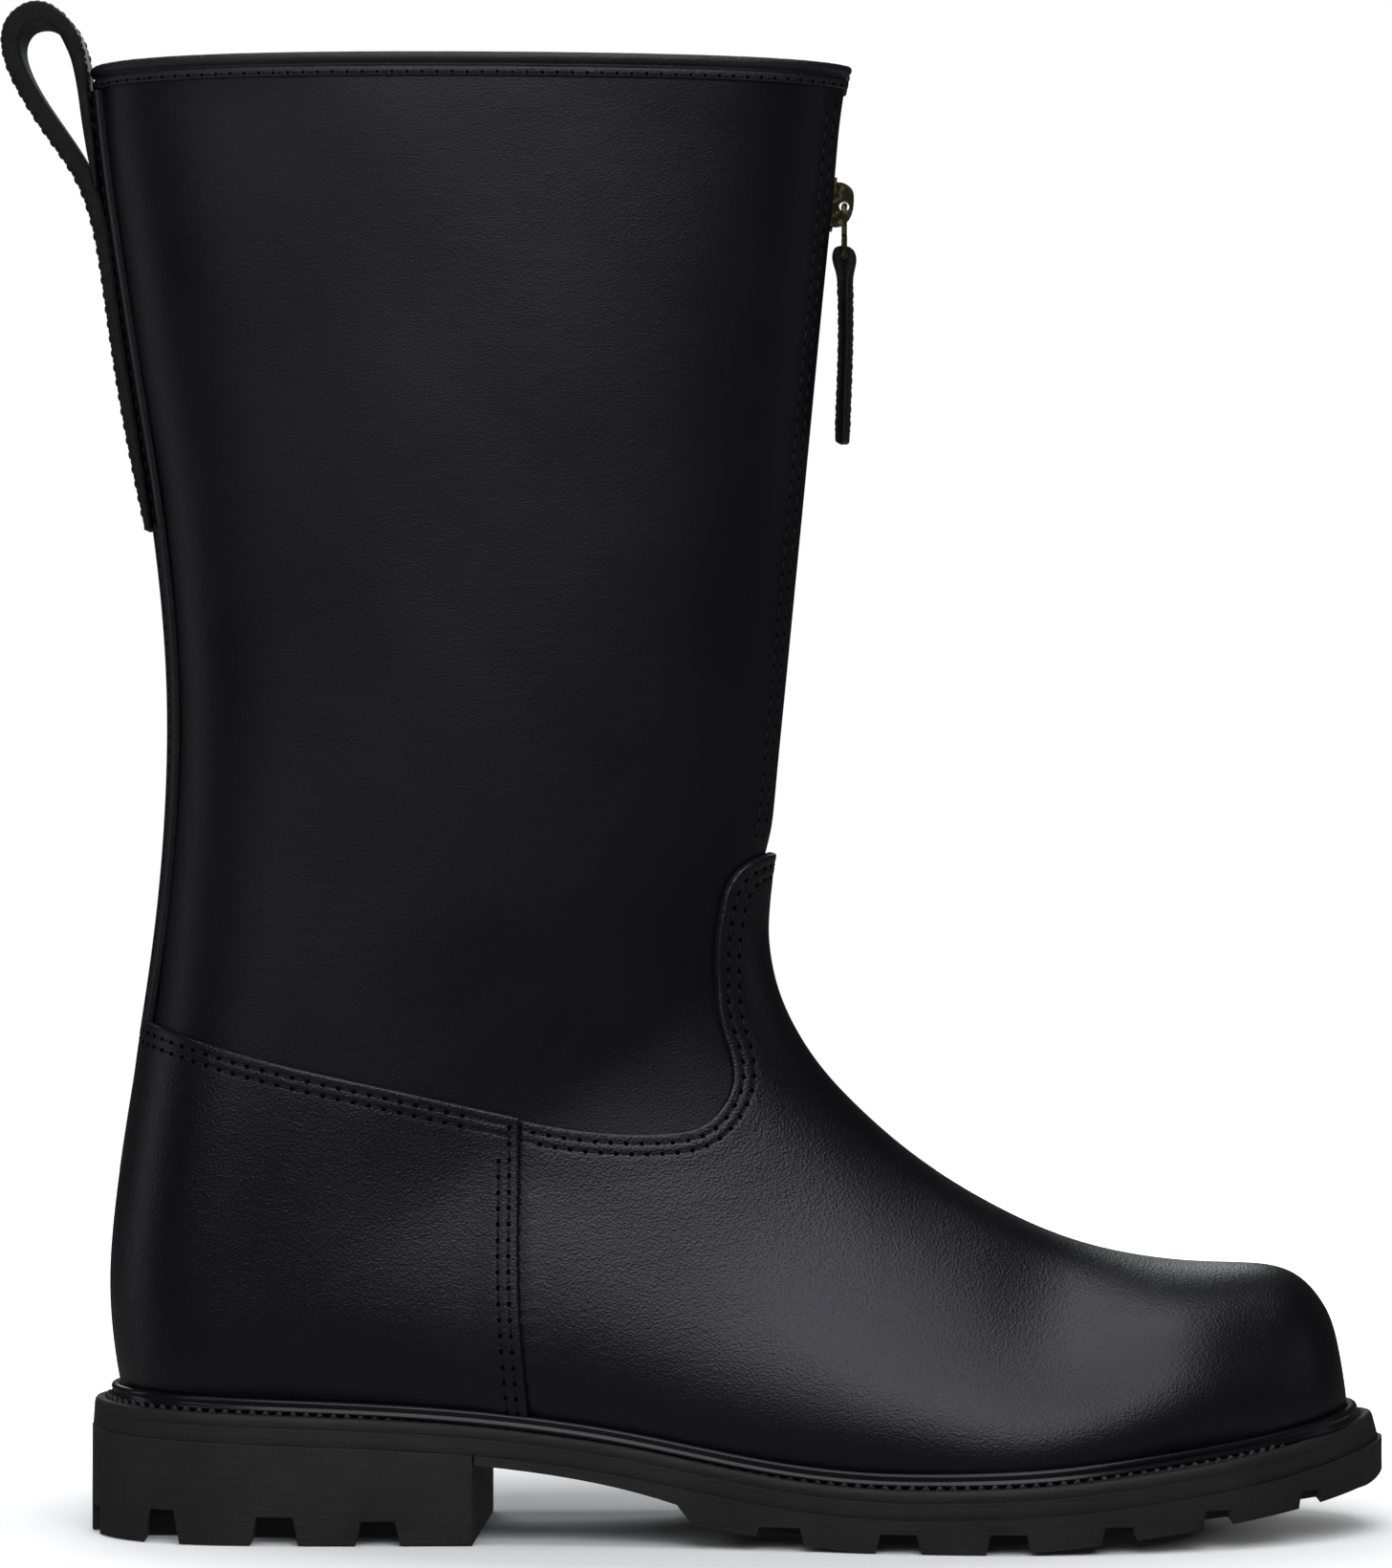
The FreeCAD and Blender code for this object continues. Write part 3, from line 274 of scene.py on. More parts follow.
class SideCurve:
    """Seam in the side view, with the signed distance from it: positive on its right side."""

    def __init__(self, points: Sequence) -> None:
        """Samples the curve and carries it straight on at both ends."""
        rows = smooth_curve(points, 1.5)
        before = rows[0] + (rows[0] - rows[1]) / np.linalg.norm(rows[0] - rows[1]) * 90.0
        after = rows[-1] + (rows[-1] - rows[-2]) / np.linalg.norm(rows[-1] - rows[-2]) * 90.0
        self.rows = np.concatenate([[before], rows, [after]])

    def distance(self, p: Array) -> Array:
        """Distance of 3-D points p to the seam's prism, positive on the right of its run."""
        start, run = self.rows[:-1], np.diff(self.rows, axis=0)
        best = np.full(len(p), 1e9)
        sign = np.ones(len(p))
        square = (run ** 2).sum(1)
        for k in range(len(run)):
            dx, dz = p[:, 0] - start[k, 0], p[:, 2] - start[k, 1]
            u = np.clip((dx * run[k, 0] + dz * run[k, 1]) / square[k], 0, 1)
            gap = np.hypot(dx - u * run[k, 0], dz - u * run[k, 1])
            side = dx * run[k, 1] - dz * run[k, 0]
            nearer = gap < best
            best = np.where(nearer, gap, best)
            sign = np.where(nearer, np.where(side >= 0, 1.0, -1.0), sign)
        return best * sign

    def shifted(self, gap: float) -> Array:
        """Side-view points of the parallel curve at a distance to the right."""
        run = unit(np.gradient(self.rows, axis=0))
        return self.rows + np.stack([run[:, 1], -run[:, 0]], axis=1) * gap


# ---- body surface --------------------------------------------------------------------------
class Last:
    """Outer face of the shaft leather. t is the section's number, phi the angle round it.

    A section's point is low + s (top - low) with s = (1 - cos phi) / 2, and its half-width is
    half * sin(phi) / 2 * root of (w0 (1-s)^2 + 2 w1 s (1-s) + w2 s^2). Below t = 0 the first
    section shrinks to its middle, which closes the toe.
    """

    def __init__(self, sections: Sequence) -> None:
        """Splines through the ends, the half-widths and the shape weights of the sections."""
        steps = np.arange(len(sections))
        self.last_t = float(len(sections) - 1)
        self.low = Spline(steps, [s[0] for s in sections])
        self.top = Spline(steps, [s[1] for s in sections])
        self.form = Spline(steps, [(s[2], s[3], s[4], *s[5]) for s in sections])

    def point(self, t: Array, phi: Array) -> Array:
        """Points of the surface."""
        held = np.maximum(t, 0.0)
        low, top, form = self.low(held), self.top(held), self.form(held)
        s = (1 - np.cos(phi)) / 2
        square = form[..., 3] * (1 - s) ** 2 + 2 * form[..., 4] * s * (1 - s) + form[..., 5] * s * s
        half = np.where(np.sin(phi) >= 0, form[..., 2], form[..., 1])
        y = half * np.sin(phi) / 2 * np.sqrt(np.maximum(square, 0.05))
        side = low + (top - low) * s[..., None]
        shrink = np.minimum(1 + t, 1.0)
        centre = (low + top) / 2
        side = np.where((t < 0)[..., None], centre + (side - centre) * shrink[..., None], side)
        y = np.where(t < 0, y * shrink, y) + form[..., 0]
        return np.stack([side[..., 0], y, side[..., 1]], axis=-1)

    def normal(self, t: Array, phi: Array) -> Array:
        """Unit normals, away from the inside: the cross product of the two tangents."""
        step = 0.02
        held = np.maximum(t, 0.0)
        before, after = np.maximum(held - step, 0), np.minimum(held + step, self.last_t)
        along = self.point(after, phi) - self.point(before, phi)
        around = self.point(held, phi + step) - self.point(held, phi - step)
        out = unit(np.cross(along, around))
        cap = np.clip(-t, 0, 1)[..., None]
        return unit(out * (1 - cap) + np.array([1.0, 0, 0]) * cap)

    def skin(self, t: Array, phi: Array, offset: Array | float) -> Array:
        """Points moved outwards along the normals by the offset."""
        return self.point(t, phi) + self.normal(t, phi) * np.broadcast_to(offset, np.shape(t))[..., None]

    def lift(self, side_view: Array, side: int) -> tuple[Array, Array]:
        """Section numbers and angles whose points are seen at side-view points.

        Args:
            side_view: rows of x, z.
            side: -1 lateral, +1 medial.

        Returns:
            t and phi for each row.
        """
        t = np.zeros(len(side_view))
        low_t, high_t = np.zeros(len(side_view)), np.full(len(side_view), self.last_t)
        for _ in range(HALVINGS):
            t = (low_t + high_t) / 2
            low, top = self.low(t), self.top(t)
            run, to = top - low, side_view - low
            ahead = run[:, 0] * to[:, 1] - run[:, 1] * to[:, 0] > 0
            low_t, high_t = np.where(ahead, t, low_t), np.where(ahead, high_t, t)
        low, run = self.low(t), self.top(t) - self.low(t)
        s = np.clip(((side_view - low) * run).sum(1) / (run ** 2).sum(1), 0, 1)
        return t, side * np.arccos(1 - 2 * s)

    def at_height(self, t: Array, side: int, offset: float, height: float, widest: float) -> Array:
        """Points of an offset skin that stand at a height above the welt.

        Args:
            t: section numbers.
            side: -1 lateral, +1 medial.
            offset: distance from the body surface.
            height: height above the welt's top.
            widest: angle at which every section is above the height.

        Returns:
            A point for each section, found by halving the angle.
        """
        low, high = np.zeros(len(t)), np.full(len(t), widest)
        for _ in range(HALVINGS):
            phi = (low + high) / 2
            under = above_welt(self.skin(t, side * phi, offset)) < height
            low, high = np.where(under, phi, low), np.where(under, high, phi)
        return self.skin(t, side * phi, offset)

    def cross(self, phi: Array, rule: Field, low: float, high: float) -> Array:
        """Section number at which a field changes sign, going up each line of equal angle.

        Args:
            phi: angles.
            rule: the field, over rows of points.
            low: section number where the search starts.
            high: section number where it ends.

        Returns:
            t for each angle.
        """
        start = np.full(len(phi), low)
        end = np.full(len(phi), high)
        first = rule(self.point(start, phi)) > 0
        for _ in range(HALVINGS):
            t = (start + end) / 2
            same = (rule(self.point(t, phi)) > 0) == first
            start, end = np.where(same, t, start), np.where(same, end, t)
        return (start + end) / 2

    def ridge(self, z: Array) -> Array:
        """x of the front line at heights above the instep."""
        t = np.linspace(12, self.last_t, 600)
        top = self.top(t)
        return np.interp(z, top[:, 1], top[:, 0])

    def angle_at_y(self, t: Array, y: float) -> Array:
        """Angle near the back line at which the section is y wide, by fixed-point steps."""
        form = self.form(t)
        sine = np.zeros(len(t))
        for _ in range(12):
            s = (1 - np.sqrt(1 - sine ** 2)) / 2
            square = form[:, 3] * (1 - s) ** 2 + 2 * form[:, 4] * s * (1 - s) + form[:, 5] * s * s
            half = form[:, 2] if y > 0 else form[:, 1]
            sine = np.clip((y - form[:, 0]) / (half / 2 * np.sqrt(square)), -0.99, 0.99)
        return np.arcsin(sine)


# ---- meshes --------------------------------------------------------------------------------
@dataclass
class Patch:
    """Triangles of the (t, phi) domain, which seams split and trim."""

    t: Array
    phi: Array
    faces: Array

    @classmethod
    def grid(cls, t_range: tuple[float, float], t_steps: int,
             phi_range: tuple[float, float], phi_steps: int) -> "Patch":
        """Regular grid over two ranges, two triangles to a cell.

        Args:
            t_range: first and last section number.
            t_steps: cells along the sections.
            phi_range: first and last angle.
            phi_steps: cells round them.

        Returns:
            The patch.
        """
        t, phi = np.meshgrid(np.linspace(*t_range, t_steps + 1), np.linspace(*phi_range, phi_steps + 1),
                             indexing="ij")
        i = np.arange(t_steps)[:, None] * (phi_steps + 1) + np.arange(phi_steps)[None]
        i = i.ravel()
        j = i + phi_steps + 1
        faces = np.concatenate([np.stack([i, j, j + 1], 1), np.stack([i, j + 1, i + 1], 1)])
        return cls(t.ravel(), phi.ravel(), faces)

    def split(self, value: Array) -> "Patch":
        """Cuts the triangles along the line where a value is zero, with shared new corners.

        Args:
            value: one number per corner.

        Returns:
            A patch in which no triangle lies on both sides.
        """
        sign = value > 0
        corner = sign[self.faces]
        count = corner.sum(1)
        whole = (count == 0) | (count == 3)
        mixed, flags = self.faces[~whole], corner[~whole]
        if not len(mixed):
            return self
        odd = np.where((flags.sum(1) == 1)[:, None], flags, ~flags).argmax(1)
        turn = (odd[:, None] + np.arange(3)) % 3
        a, b, c = np.take_along_axis(mixed, turn, 1).T
        pairs = np.sort(np.concatenate([np.stack([a, b], 1), np.stack([a, c], 1)]), axis=1)
        edges, place = np.unique(pairs, axis=0, return_inverse=True)
        place = place.ravel()
        u, v = edges.T
        w = np.clip(value[u] / (value[u] - value[v]), 0.02, 0.98)
        ab, ac = len(self.t) + place[:len(a)], len(self.t) + place[len(a):]
        faces = np.concatenate([self.faces[whole], np.stack([a, ab, ac], 1),
                                np.stack([ab, b, c], 1), np.stack([ab, c, ac], 1)])
        return Patch(np.concatenate([self.t, self.t[u] * (1 - w) + self.t[v] * w]),
                     np.concatenate([self.phi, self.phi[u] * (1 - w) + self.phi[v] * w]), faces)

    def keep(self, value: Array) -> "Patch":
        """Drops the triangles whose mean value is below zero, and unused corners."""
        faces = self.faces[value[self.faces].mean(1) > 0]
        used, place = np.unique(faces, return_inverse=True)
        return Patch(self.t[used], self.phi[used], place.reshape(faces.shape))

    def cut(self, last: Last, rule: Field, levels: Sequence[float] = (0.0,)) -> "Patch":
        """Splits along each level of a field and drops what lies below the first level.

        Args:
            last: body surface, which gives the field its points.
            rule: the field, over rows of points.
            levels: values of the field, the trimming one first.

        Returns:
            The trimmed patch.
        """
        made = self
        for level in levels:
            made = made.split(rule(last.point(made.t, made.phi)) - level)
        return made.keep(rule(last.point(made.t, made.phi)) - levels[0])


@dataclass
class Shape:
    """Corners in millimetres, faces as index arrays of any width, and a finish slot per face."""

    points: Array
    faces: list[Array]
    slots: list[int] = field(default_factory=list)

    def joined(self, other: "Shape") -> "Shape":
        """This shape and another as one."""
        shift = len(self.points)
        return Shape(np.concatenate([self.points, other.points]),
                     self.faces + [f + shift for f in other.faces],
                     (self.slots or [0] * len(self.faces)) + (other.slots or [0] * len(other.faces)))


def weld(points: Array, faces: Array) -> tuple[Array, Array]:
    """Joins corners at one place: first index of each place, and faces without collapsed ones."""
    key = np.round(points * 2000).astype(np.int64)
    _, first, place = np.unique(key, axis=0, return_index=True, return_inverse=True)
    faces = place.ravel()[faces]
    good = (faces[:, 0] != faces[:, 1]) & (faces[:, 1] != faces[:, 2]) & (faces[:, 0] != faces[:, 2])
    return first, faces[good]


def leather_shell(last: Last, patch: Patch, outer: Array | float, inner: Array | float) -> Shape:
    """Closed piece between two offsets of a patch.

    Args:
        last: body surface.
        patch: trimmed domain.
        outer: offset of the outer face.
        inner: offset of the inner face.

    Returns:
        Outer and inner triangles, slot 0, and the cut edge between them, slot 1.
    """
    base = last.point(patch.t, patch.phi)
    first, faces = weld(base, patch.faces)
    t, phi = patch.t[first], patch.phi[first]
    outer = np.broadcast_to(outer, patch.t.shape)[first]
    inner = np.broadcast_to(inner, patch.t.shape)[first]
    count = len(first)
    directed = np.concatenate([faces[:, [0, 1]], faces[:, [1, 2]], faces[:, [2, 0]]])
    code = directed[:, 0] * count + directed[:, 1]
    back = directed[:, 1] * count + directed[:, 0]
    a, b = directed[~np.isin(code, back)].T
    wall = np.stack([b, a, a + count, b + count], 1)
    points = np.concatenate([last.skin(t, phi, outer), last.skin(t, phi, inner)])
    return Shape(points, [faces, faces[:, ::-1] + count, wall], [0, 0, 1])


def swept(rings: Array, closed_path: bool) -> Shape:
    """Quads over a grid of closed rings, with flat ends where the path is open.

    Args:
        rings: path steps by ring steps by 3.
        closed_path: joins the last ring to the first.

    Returns:
        The shape, in one slot.
    """
    n, k = rings.shape[:2]
    i, j = np.arange(n if closed_path else n - 1)[:, None], np.arange(k)[None]
    i2, j2 = (i + 1) % n, (j + 1) % k
    faces = [np.stack([i * k + j, i2 * k + j, i2 * k + j2, i * k + j2], -1).reshape(-1, 4)]
    if not closed_path:
        faces += [np.arange(k)[None, ::-1].copy(), (np.arange(k) + (n - 1) * k)[None]]
    return Shape(rings.reshape(-1, 3), faces, [0] * len(faces))


def capped(bodies: Array) -> Shape:
    """Many alike closed bodies, each a stack of rings with a flat face at both ends.

    Args:
        bodies: body by ring by place in the ring by 3.

    Returns:
        The shape, in one slot.
    """
    n, rings, k = bodies.shape[:3]
    base = (np.arange(n) * rings * k)[:, None]
    i, j = np.meshgrid(np.arange(rings - 1), np.arange(k), indexing="ij")
    j2 = (j + 1) % k
    quad = np.stack([i * k + j, i * k + j2, (i + 1) * k + j2, (i + 1) * k + j], -1).reshape(1, -1, 4)
    ends = np.concatenate([base + np.arange(k)[None, ::-1], base + (rings - 1) * k + np.arange(k)[None]])
    return Shape(bodies.reshape(-1, 3), [(base[:, :, None] + quad).reshape(-1, 4), ends], [0, 0])


def volume(shape: Shape) -> float:
    """Signed volume from the fan of each face."""
    total = 0.0
    for f in shape.faces:
        p = shape.points[f]
        for k in range(1, f.shape[1] - 1):
            total += np.einsum("ij,ij->i", p[:, 0], np.cross(p[:, k], p[:, k + 1])).sum() / 6
    return total


def mesh_piece(name: str, shape: Shape, finishes: Sequence[bpy.types.Material], body: str = "boot",
               nodes: Sequence[str] = (), crease: float = 38.0) -> bpy.types.Object:
    """Makes the object of a shape, parents it to its body's empty and hides the CAD nodes it stands for.

    Args:
        name: piece name.
        shape: what it looks like, in millimetres.
        finishes: a material for each slot of the shape.
        body: the CAD body it moves with.
        nodes: CAD nodes that it stands for.
        crease: edges sharper than this angle stay sharp, in degrees.

    Returns:
        The object.
    """
    if volume(shape) < 0:
        shape = Shape(shape.points, [f[:, ::-1].copy() for f in shape.faces], shape.slots)
    mesh = bpy.data.meshes.new(name)
    loops = np.concatenate([f.ravel() for f in shape.faces])
    totals = np.concatenate([np.full(len(f), f.shape[1]) for f in shape.faces])
    mesh.vertices.add(len(shape.points))
    mesh.vertices.foreach_set("co", (shape.points * MM).astype(np.float32).ravel())
    mesh.loops.add(len(loops))
    mesh.loops.foreach_set("vertex_index", loops.astype(np.int32))
    mesh.polygons.add(len(totals))
    starts = np.concatenate([[0], np.cumsum(totals)[:-1]])
    mesh.polygons.foreach_set("loop_start", starts.astype(np.int32))
    slots = shape.slots or [0] * len(shape.faces)
    index = np.concatenate([np.full(len(f), s) for f, s in zip(shape.faces, slots)])
    for material in finishes:
        mesh.materials.append(material)
    mesh.polygons.foreach_set("material_index", np.minimum(index, len(finishes) - 1).astype(np.int32))
    mesh.update(calc_edges=True)
    mesh.validate()
    mesh.polygons.foreach_set("use_smooth", np.ones(len(mesh.polygons), bool))
    mesh.set_sharp_from_angle(angle=math.radians(crease))
    made = bpy.data.objects.new(name, mesh)
    bpy.context.scene.collection.objects.link(made)
    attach(made, body)
    if nodes:
        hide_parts(*nodes)
    LOG.info("%s: %d faces", name, len(totals))
    return made


# ---- stitches ------------------------------------------------------------------------------
@dataclass(frozen=True)
class Thread:
    """Sizes of one row's stitches."""

    pitch: float = STITCH_PITCH
    width: float = 0.30       # half-width of the thread
    rise: float = 0.26        # how far the thread's back stands above the leather
    # hole: half-width of the needle hole's dark cap, which is painted shade
    hole_shade: float = 0.62        # half-width of the needle hole


def stitch_row(path: Array, normals: Array, thread: Thread, shift: float = 0.0) -> Shape:
    """Threads between needle holes along a path.

    The thread's axis is a low arch: its height is rise times (1 - 2 u^4) with u from -1 to 1 along
    the stitch, and its radius shrinks towards the holes. A hole is a flat dark cap, painted shade in place of a sunk
    hole.

    Args:
        path: dense points on the leather.
        normals: outward normals at those points.
        thread: sizes.
        shift: part of a pitch by which the row starts later.

    Returns:
        Threads, slot 0, and the holes' dark caps of painted shade, slot 1.
    """
    length = chord(path)
    count = max(int(length[-1] / thread.pitch) - 1, 1)
    pitch = length[-1] / (count + 0.6 + shift)
    knots = (np.arange(count + 1) + 0.3 + shift) * pitch

    def at(rows: Array, where: Array) -> Array:
        return np.stack([np.interp(where, length, rows[:, k]) for k in range(3)], -1)

    holes, up = at(path, knots), unit(at(normals, knots))
    middle = (holes[:-1] + holes[1:]) / 2
    out = unit(up[:-1] + up[1:])
    along = unit(holes[1:] - holes[:-1])
    across = unit(np.cross(out, along))
    half = np.linalg.norm(holes[1:] - holes[:-1], axis=1) / 2 * 0.72
    u = np.array([-1.0, -0.72, -0.25, 0.25, 0.72, 1.0])
    radius = thread.width * np.array([0.55, 0.9, 1.0, 1.0, 0.9, 0.55])
    height = thread.rise * (1 - 2.2 * u ** 4) - thread.width * 0.85
    turn = np.arange(6) * math.pi / 3
    ring = (middle[:, None, None] + along[:, None, None] * u[None, :, None, None] * half[:, None, None, None]
            + out[:, None, None] * (height[:, None] + radius[:, None] * np.sin(turn))[None, :, :, None]
            + across[:, None, None] * (radius[:, None] * np.cos(turn))[None, :, :, None])

    # Dark caps at the needle holes: painted shade that stands in for the holes' depth.
    tangent = unit(np.gradient(holes, axis=0))
    side = unit(np.cross(up, tangent))
    turn = np.arange(8) * math.pi / 4
    disc = 1.25 * tangent[:, None] * np.cos(turn)[None, :, None] + side[:, None] * np.sin(turn)[None, :, None]
    rim = holes[:, None] + disc * thread.hole_shade - up[:, None] * 0.25
    lip = holes[:, None] + disc * thread.hole_shade * 0.86 + up[:, None] * 0.10
    top = holes + up * 0.11
    m = len(holes)
    points = np.concatenate([rim, lip, top[:, None]], axis=1).reshape(-1, 3)
    base = (np.arange(m) * 17)[:, None]
    k, k2 = np.arange(8), (np.arange(8) + 1) % 8
    band = (base[:, :, None] + np.stack([k, k2, k2 + 8, k + 8], -1)[None]).reshape(-1, 4)
    cap = (base[:, :, None] + np.stack([k + 8, k2 + 8, np.full(8, 16)], -1)[None]).reshape(-1, 3)
    floor = base + k[None, ::-1]
    return capped(ring).joined(Shape(points, [band, cap, floor], [1, 1, 1]))


def together(shapes: Sequence[Shape]) -> Shape:
    """All shapes as one."""
    return reduce(Shape.joined, shapes)


def oblong(angle: Array, side_power: float, face_power: float) -> tuple[Array, Array]:
    """Round an oblong with full corners: signed powers of cosine and sine.

    Args:
        angle: places round it.
        side_power: power of the cosine; the smaller, the squarer.
        face_power: power of the sine.

    Returns:
        The two coordinates, each from -1 to 1.
    """
    c, s = np.cos(angle), np.sin(angle)
    return np.sign(c) * np.abs(c) ** side_power, np.sign(s) * np.abs(s) ** face_power


# ---- finishes ------------------------------------------------------------------------------
class Nodes:
    """A material's node tree with short words for what the finishes use."""

    def __init__(self, name: str) -> None:
        """Starts a material with a shader and object coordinates."""
        self.material = bpy.data.materials.new("finish_" + name)
        self.material.use_nodes = True
        self.tree = self.material.node_tree
        self.shader = self.tree.nodes["Principled BSDF"]
        self.where = self.tree.nodes.new("ShaderNodeTexCoord").outputs["Object"]

    def add(self, kind: str, inputs: dict[str | int, object], **settings: object) -> bpy.types.Node:
        """Adds a node, sets its properties, and fills or links its inputs."""
        node = self.tree.nodes.new(kind)
        for key, value in settings.items():
            setattr(node, key, value)
        for key, value in inputs.items():
            if isinstance(value, Socket):
                self.tree.links.new(value, node.inputs[key])
            else:
                node.inputs[key].default_value = value
        return node

    def scaled(self, scale: tuple[float, ...], turn: tuple[float, ...] = (0, 0, 0)) -> Socket:
        """Object coordinates stretched and turned."""
        return self.add("ShaderNodeMapping", {"Vector": self.where, "Scale": scale, "Rotation": turn}
                        ).outputs["Vector"]

    def noise(self, scale: float, detail: float = 3.0, rough: float = 0.5, where: Socket | None = None) -> Socket:
        """Noise value, 0 to 1."""
        return self.add("ShaderNodeTexNoise", {"Vector": where or self.where, "Scale": scale,
                                               "Detail": detail, "Roughness": rough}).outputs["Fac"]

    def cells(self, scale: float, where: Socket, feature: str = "F1") -> Socket:
        """Distance inside the cells of a Voronoi pattern."""
        return self.add("ShaderNodeTexVoronoi", {"Vector": where, "Scale": scale},
                        feature=feature).outputs["Distance"]

    def between(self, value: Value, low: float, high: float, to_low: float, to_high: float) -> Socket:
        """A value carried from one range to another."""
        return self.add("ShaderNodeMapRange", {"Value": value, "From Min": low, "From Max": high,
                                               "To Min": to_low, "To Max": to_high}).outputs["Result"]

    def maths(self, kind: str, a: Value, b: Value = 0.0) -> Socket:
        """One sum of two values."""
        return self.add("ShaderNodeMath", {0: a, 1: b}, operation=kind).outputs[0]

    def mixed(self, factor: Socket, first: tuple | Socket, second: tuple | Socket) -> Socket:
        """Two colours mixed by a value."""
        node = self.tree.nodes.new("ShaderNodeMix")
        node.data_type = "RGBA"
        for index, value in ((0, factor), (6, first), (7, second)):
            if isinstance(value, Socket):
                self.tree.links.new(value, node.inputs[index])
            else:
                node.inputs[index].default_value = (*value, 1.0) if len(value) == 3 else value
        return node.outputs[2]

    def bump(self, height: Socket, depth: float, strength: float = 1.0, after: Socket | None = None) -> Socket:
        """Raised and sunk by a height value; depth in metres."""
        inputs = {"Height": height, "Distance": depth, "Strength": strength}
        if after is not None:
            inputs["Normal"] = after
        return self.add("ShaderNodeBump", inputs).outputs["Normal"]

    def finish(self, color: Socket, roughness: Value, normal: Socket | None = None,
               **constants: float | tuple) -> bpy.types.Material:
        """Links colour, roughness and normal, and sets plain values on the shader's sockets."""
        for key, value in (("Base Color", color), ("Roughness", roughness), ("Normal", normal)):
            if isinstance(value, Socket):
                self.tree.links.new(value, self.shader.inputs[key])
            elif value is not None:
                self.shader.inputs[key].default_value = value
        for key, value in constants.items():
            self.shader.inputs[key.replace("_", " ")].default_value = value
        return self.material


@dataclass(frozen=True)
class LeatherFinish:
    """Black calf leather: pebbled grain, pores, faint creases and uneven polish."""

    name: str
    dark: tuple[float, float, float] = (0.0012, 0.0012, 0.0016)
    light: tuple[float, float, float] = (0.0022, 0.0022, 0.0028)
    roughness: tuple[float, float] = (0.32, 0.40)
    grain: float = 1500.0      # cells per metre
    grain_depth: float = 0.00006
    crease_depth: float = 0.00008
    ior: float = 1.42
    tint: tuple[float, float, float, float] = (0.92, 0.905, 1.0, 1.0)

    def build(self) -> bpy.types.Material:
        """Makes the material."""
        n = Nodes(self.name)
        drawn = n.scaled((1.0, 1.0, 1.25), (0.3, 0.2, 0.5))
        pebble = n.cells(self.grain, drawn, "SMOOTH_F1")
        pores = n.noise(self.grain * 2.1, 2.0, 0.6, drawn)
        patch = n.noise(14.0, 3.0, 0.55)
        fold = n.noise(95.0, 4.0, 0.65, n.scaled((1.0, 1.0, 2.6), (0.1, 0.5, 0.0)))
        wave = n.noise(22.0, 2.0, 0.4)
        color = n.mixed(n.between(patch, 0.35, 0.65, 0.0, 1.0), self.dark, self.light)
        color = n.mixed(n.between(pores, 0.55, 0.8, 0.0, 0.5), color, (0.002, 0.002, 0.0022))
        rough = n.maths("ADD", n.between(patch, 0.3, 0.7, *self.roughness),
                        n.between(pores, 0.3, 0.7, -0.03, 0.03))
        normal = n.bump(wave, 0.0012, 0.35)
        normal = n.bump(fold, self.crease_depth, 0.6, normal)
        normal = n.bump(pebble, self.grain_depth, 0.8, normal)
        normal = n.bump(pores, self.grain_depth * 0.5, 0.5, normal)
        return n.finish(color, rough, normal, IOR=self.ior, Specular_Tint=self.tint)


@dataclass(frozen=True)
class EdgeFinish:
    """Cut leather edge: dyed, fibrous and matt, a little lighter than the face."""

    name: str
    dark: tuple[float, float, float] = (0.0012, 0.0012, 0.0014)
    light: tuple[float, float, float] = (0.009, 0.0088, 0.0086)
    fibre: float = 2600.0
    depth: float = 0.00012

    def build(self) -> bpy.types.Material:
        """Makes the material."""
        n = Nodes(self.name)
        fibres = n.noise(self.fibre, 4.0, 0.7, n.scaled((1.0, 0.25, 1.0)))
        nap = n.noise(600.0, 3.0, 0.6)
        color = n.mixed(n.between(n.maths("MULTIPLY", fibres, nap), 0.12, 0.4, 0.0, 1.0), self.dark, self.light)
        normal = n.bump(fibres, self.depth, 0.9, n.bump(nap, self.depth * 1.5, 0.6))
        return n.finish(color, n.between(nap, 0.3, 0.7, 0.68, 0.85), normal, IOR=1.25)


@dataclass(frozen=True)
class RubberFinish:
    """Matt rubber side of the sole, buffed level: fine scratches along it and dull patches."""

    name: str
    dark: tuple[float, float, float] = (0.0055, 0.0052, 0.0052)
    light: tuple[float, float, float] = (0.0120, 0.0112, 0.0110)
    roughness: tuple[float, float] = (0.55, 0.72)

    def build(self) -> bpy.types.Material:
        """Makes the material."""
        n = Nodes(self.name)
        buff = n.noise(240.0, 5.0, 0.7, n.scaled((0.35, 0.35, 5.0)))
        dust = n.noise(900.0, 4.0, 0.7)
        patch = n.noise(30.0, 3.0, 0.6)
        color = n.mixed(n.between(patch, 0.3, 0.7, 0.0, 1.0), self.dark, self.light)
        color = n.mixed(n.between(dust, 0.66, 0.8, 0.0, 0.55), color, (0.045, 0.043, 0.042))
        color = n.mixed(n.between(buff, 0.6, 0.8, 0.0, 0.5), color, (0.030, 0.029, 0.028))
        normal = n.bump(buff, 0.00025, 0.7, n.bump(dust, 0.00014, 0.8, n.bump(patch, 0.001, 0.4)))
        return n.finish(color, n.between(buff, 0.3, 0.7, *self.roughness), normal, IOR=1.38)


@dataclass(frozen=True)
class BrassFinish:
    """Antique brass: dark olive patina with brighter rubbed spots."""

    name: str
    patina: tuple[float, float, float] = (0.014, 0.012, 0.007)
    rubbed: tuple[float, float, float] = (0.12, 0.098, 0.055)

    def build(self) -> bpy.types.Material:
        """Makes the material."""
        n = Nodes(self.name)
        stain = n.noise(420.0, 4.0, 0.65)
        pits = n.noise(2600.0, 3.0, 0.6)
        color = n.mixed(n.between(stain, 0.5, 0.72, 0.0, 1.0), self.patina, self.rubbed)
        normal = n.bump(pits, 0.00003, 0.5, n.bump(stain, 0.0001, 0.35))
        return n.finish(color, n.between(stain, 0.35, 0.7, 0.42, 0.26), normal, Metallic=1.0)


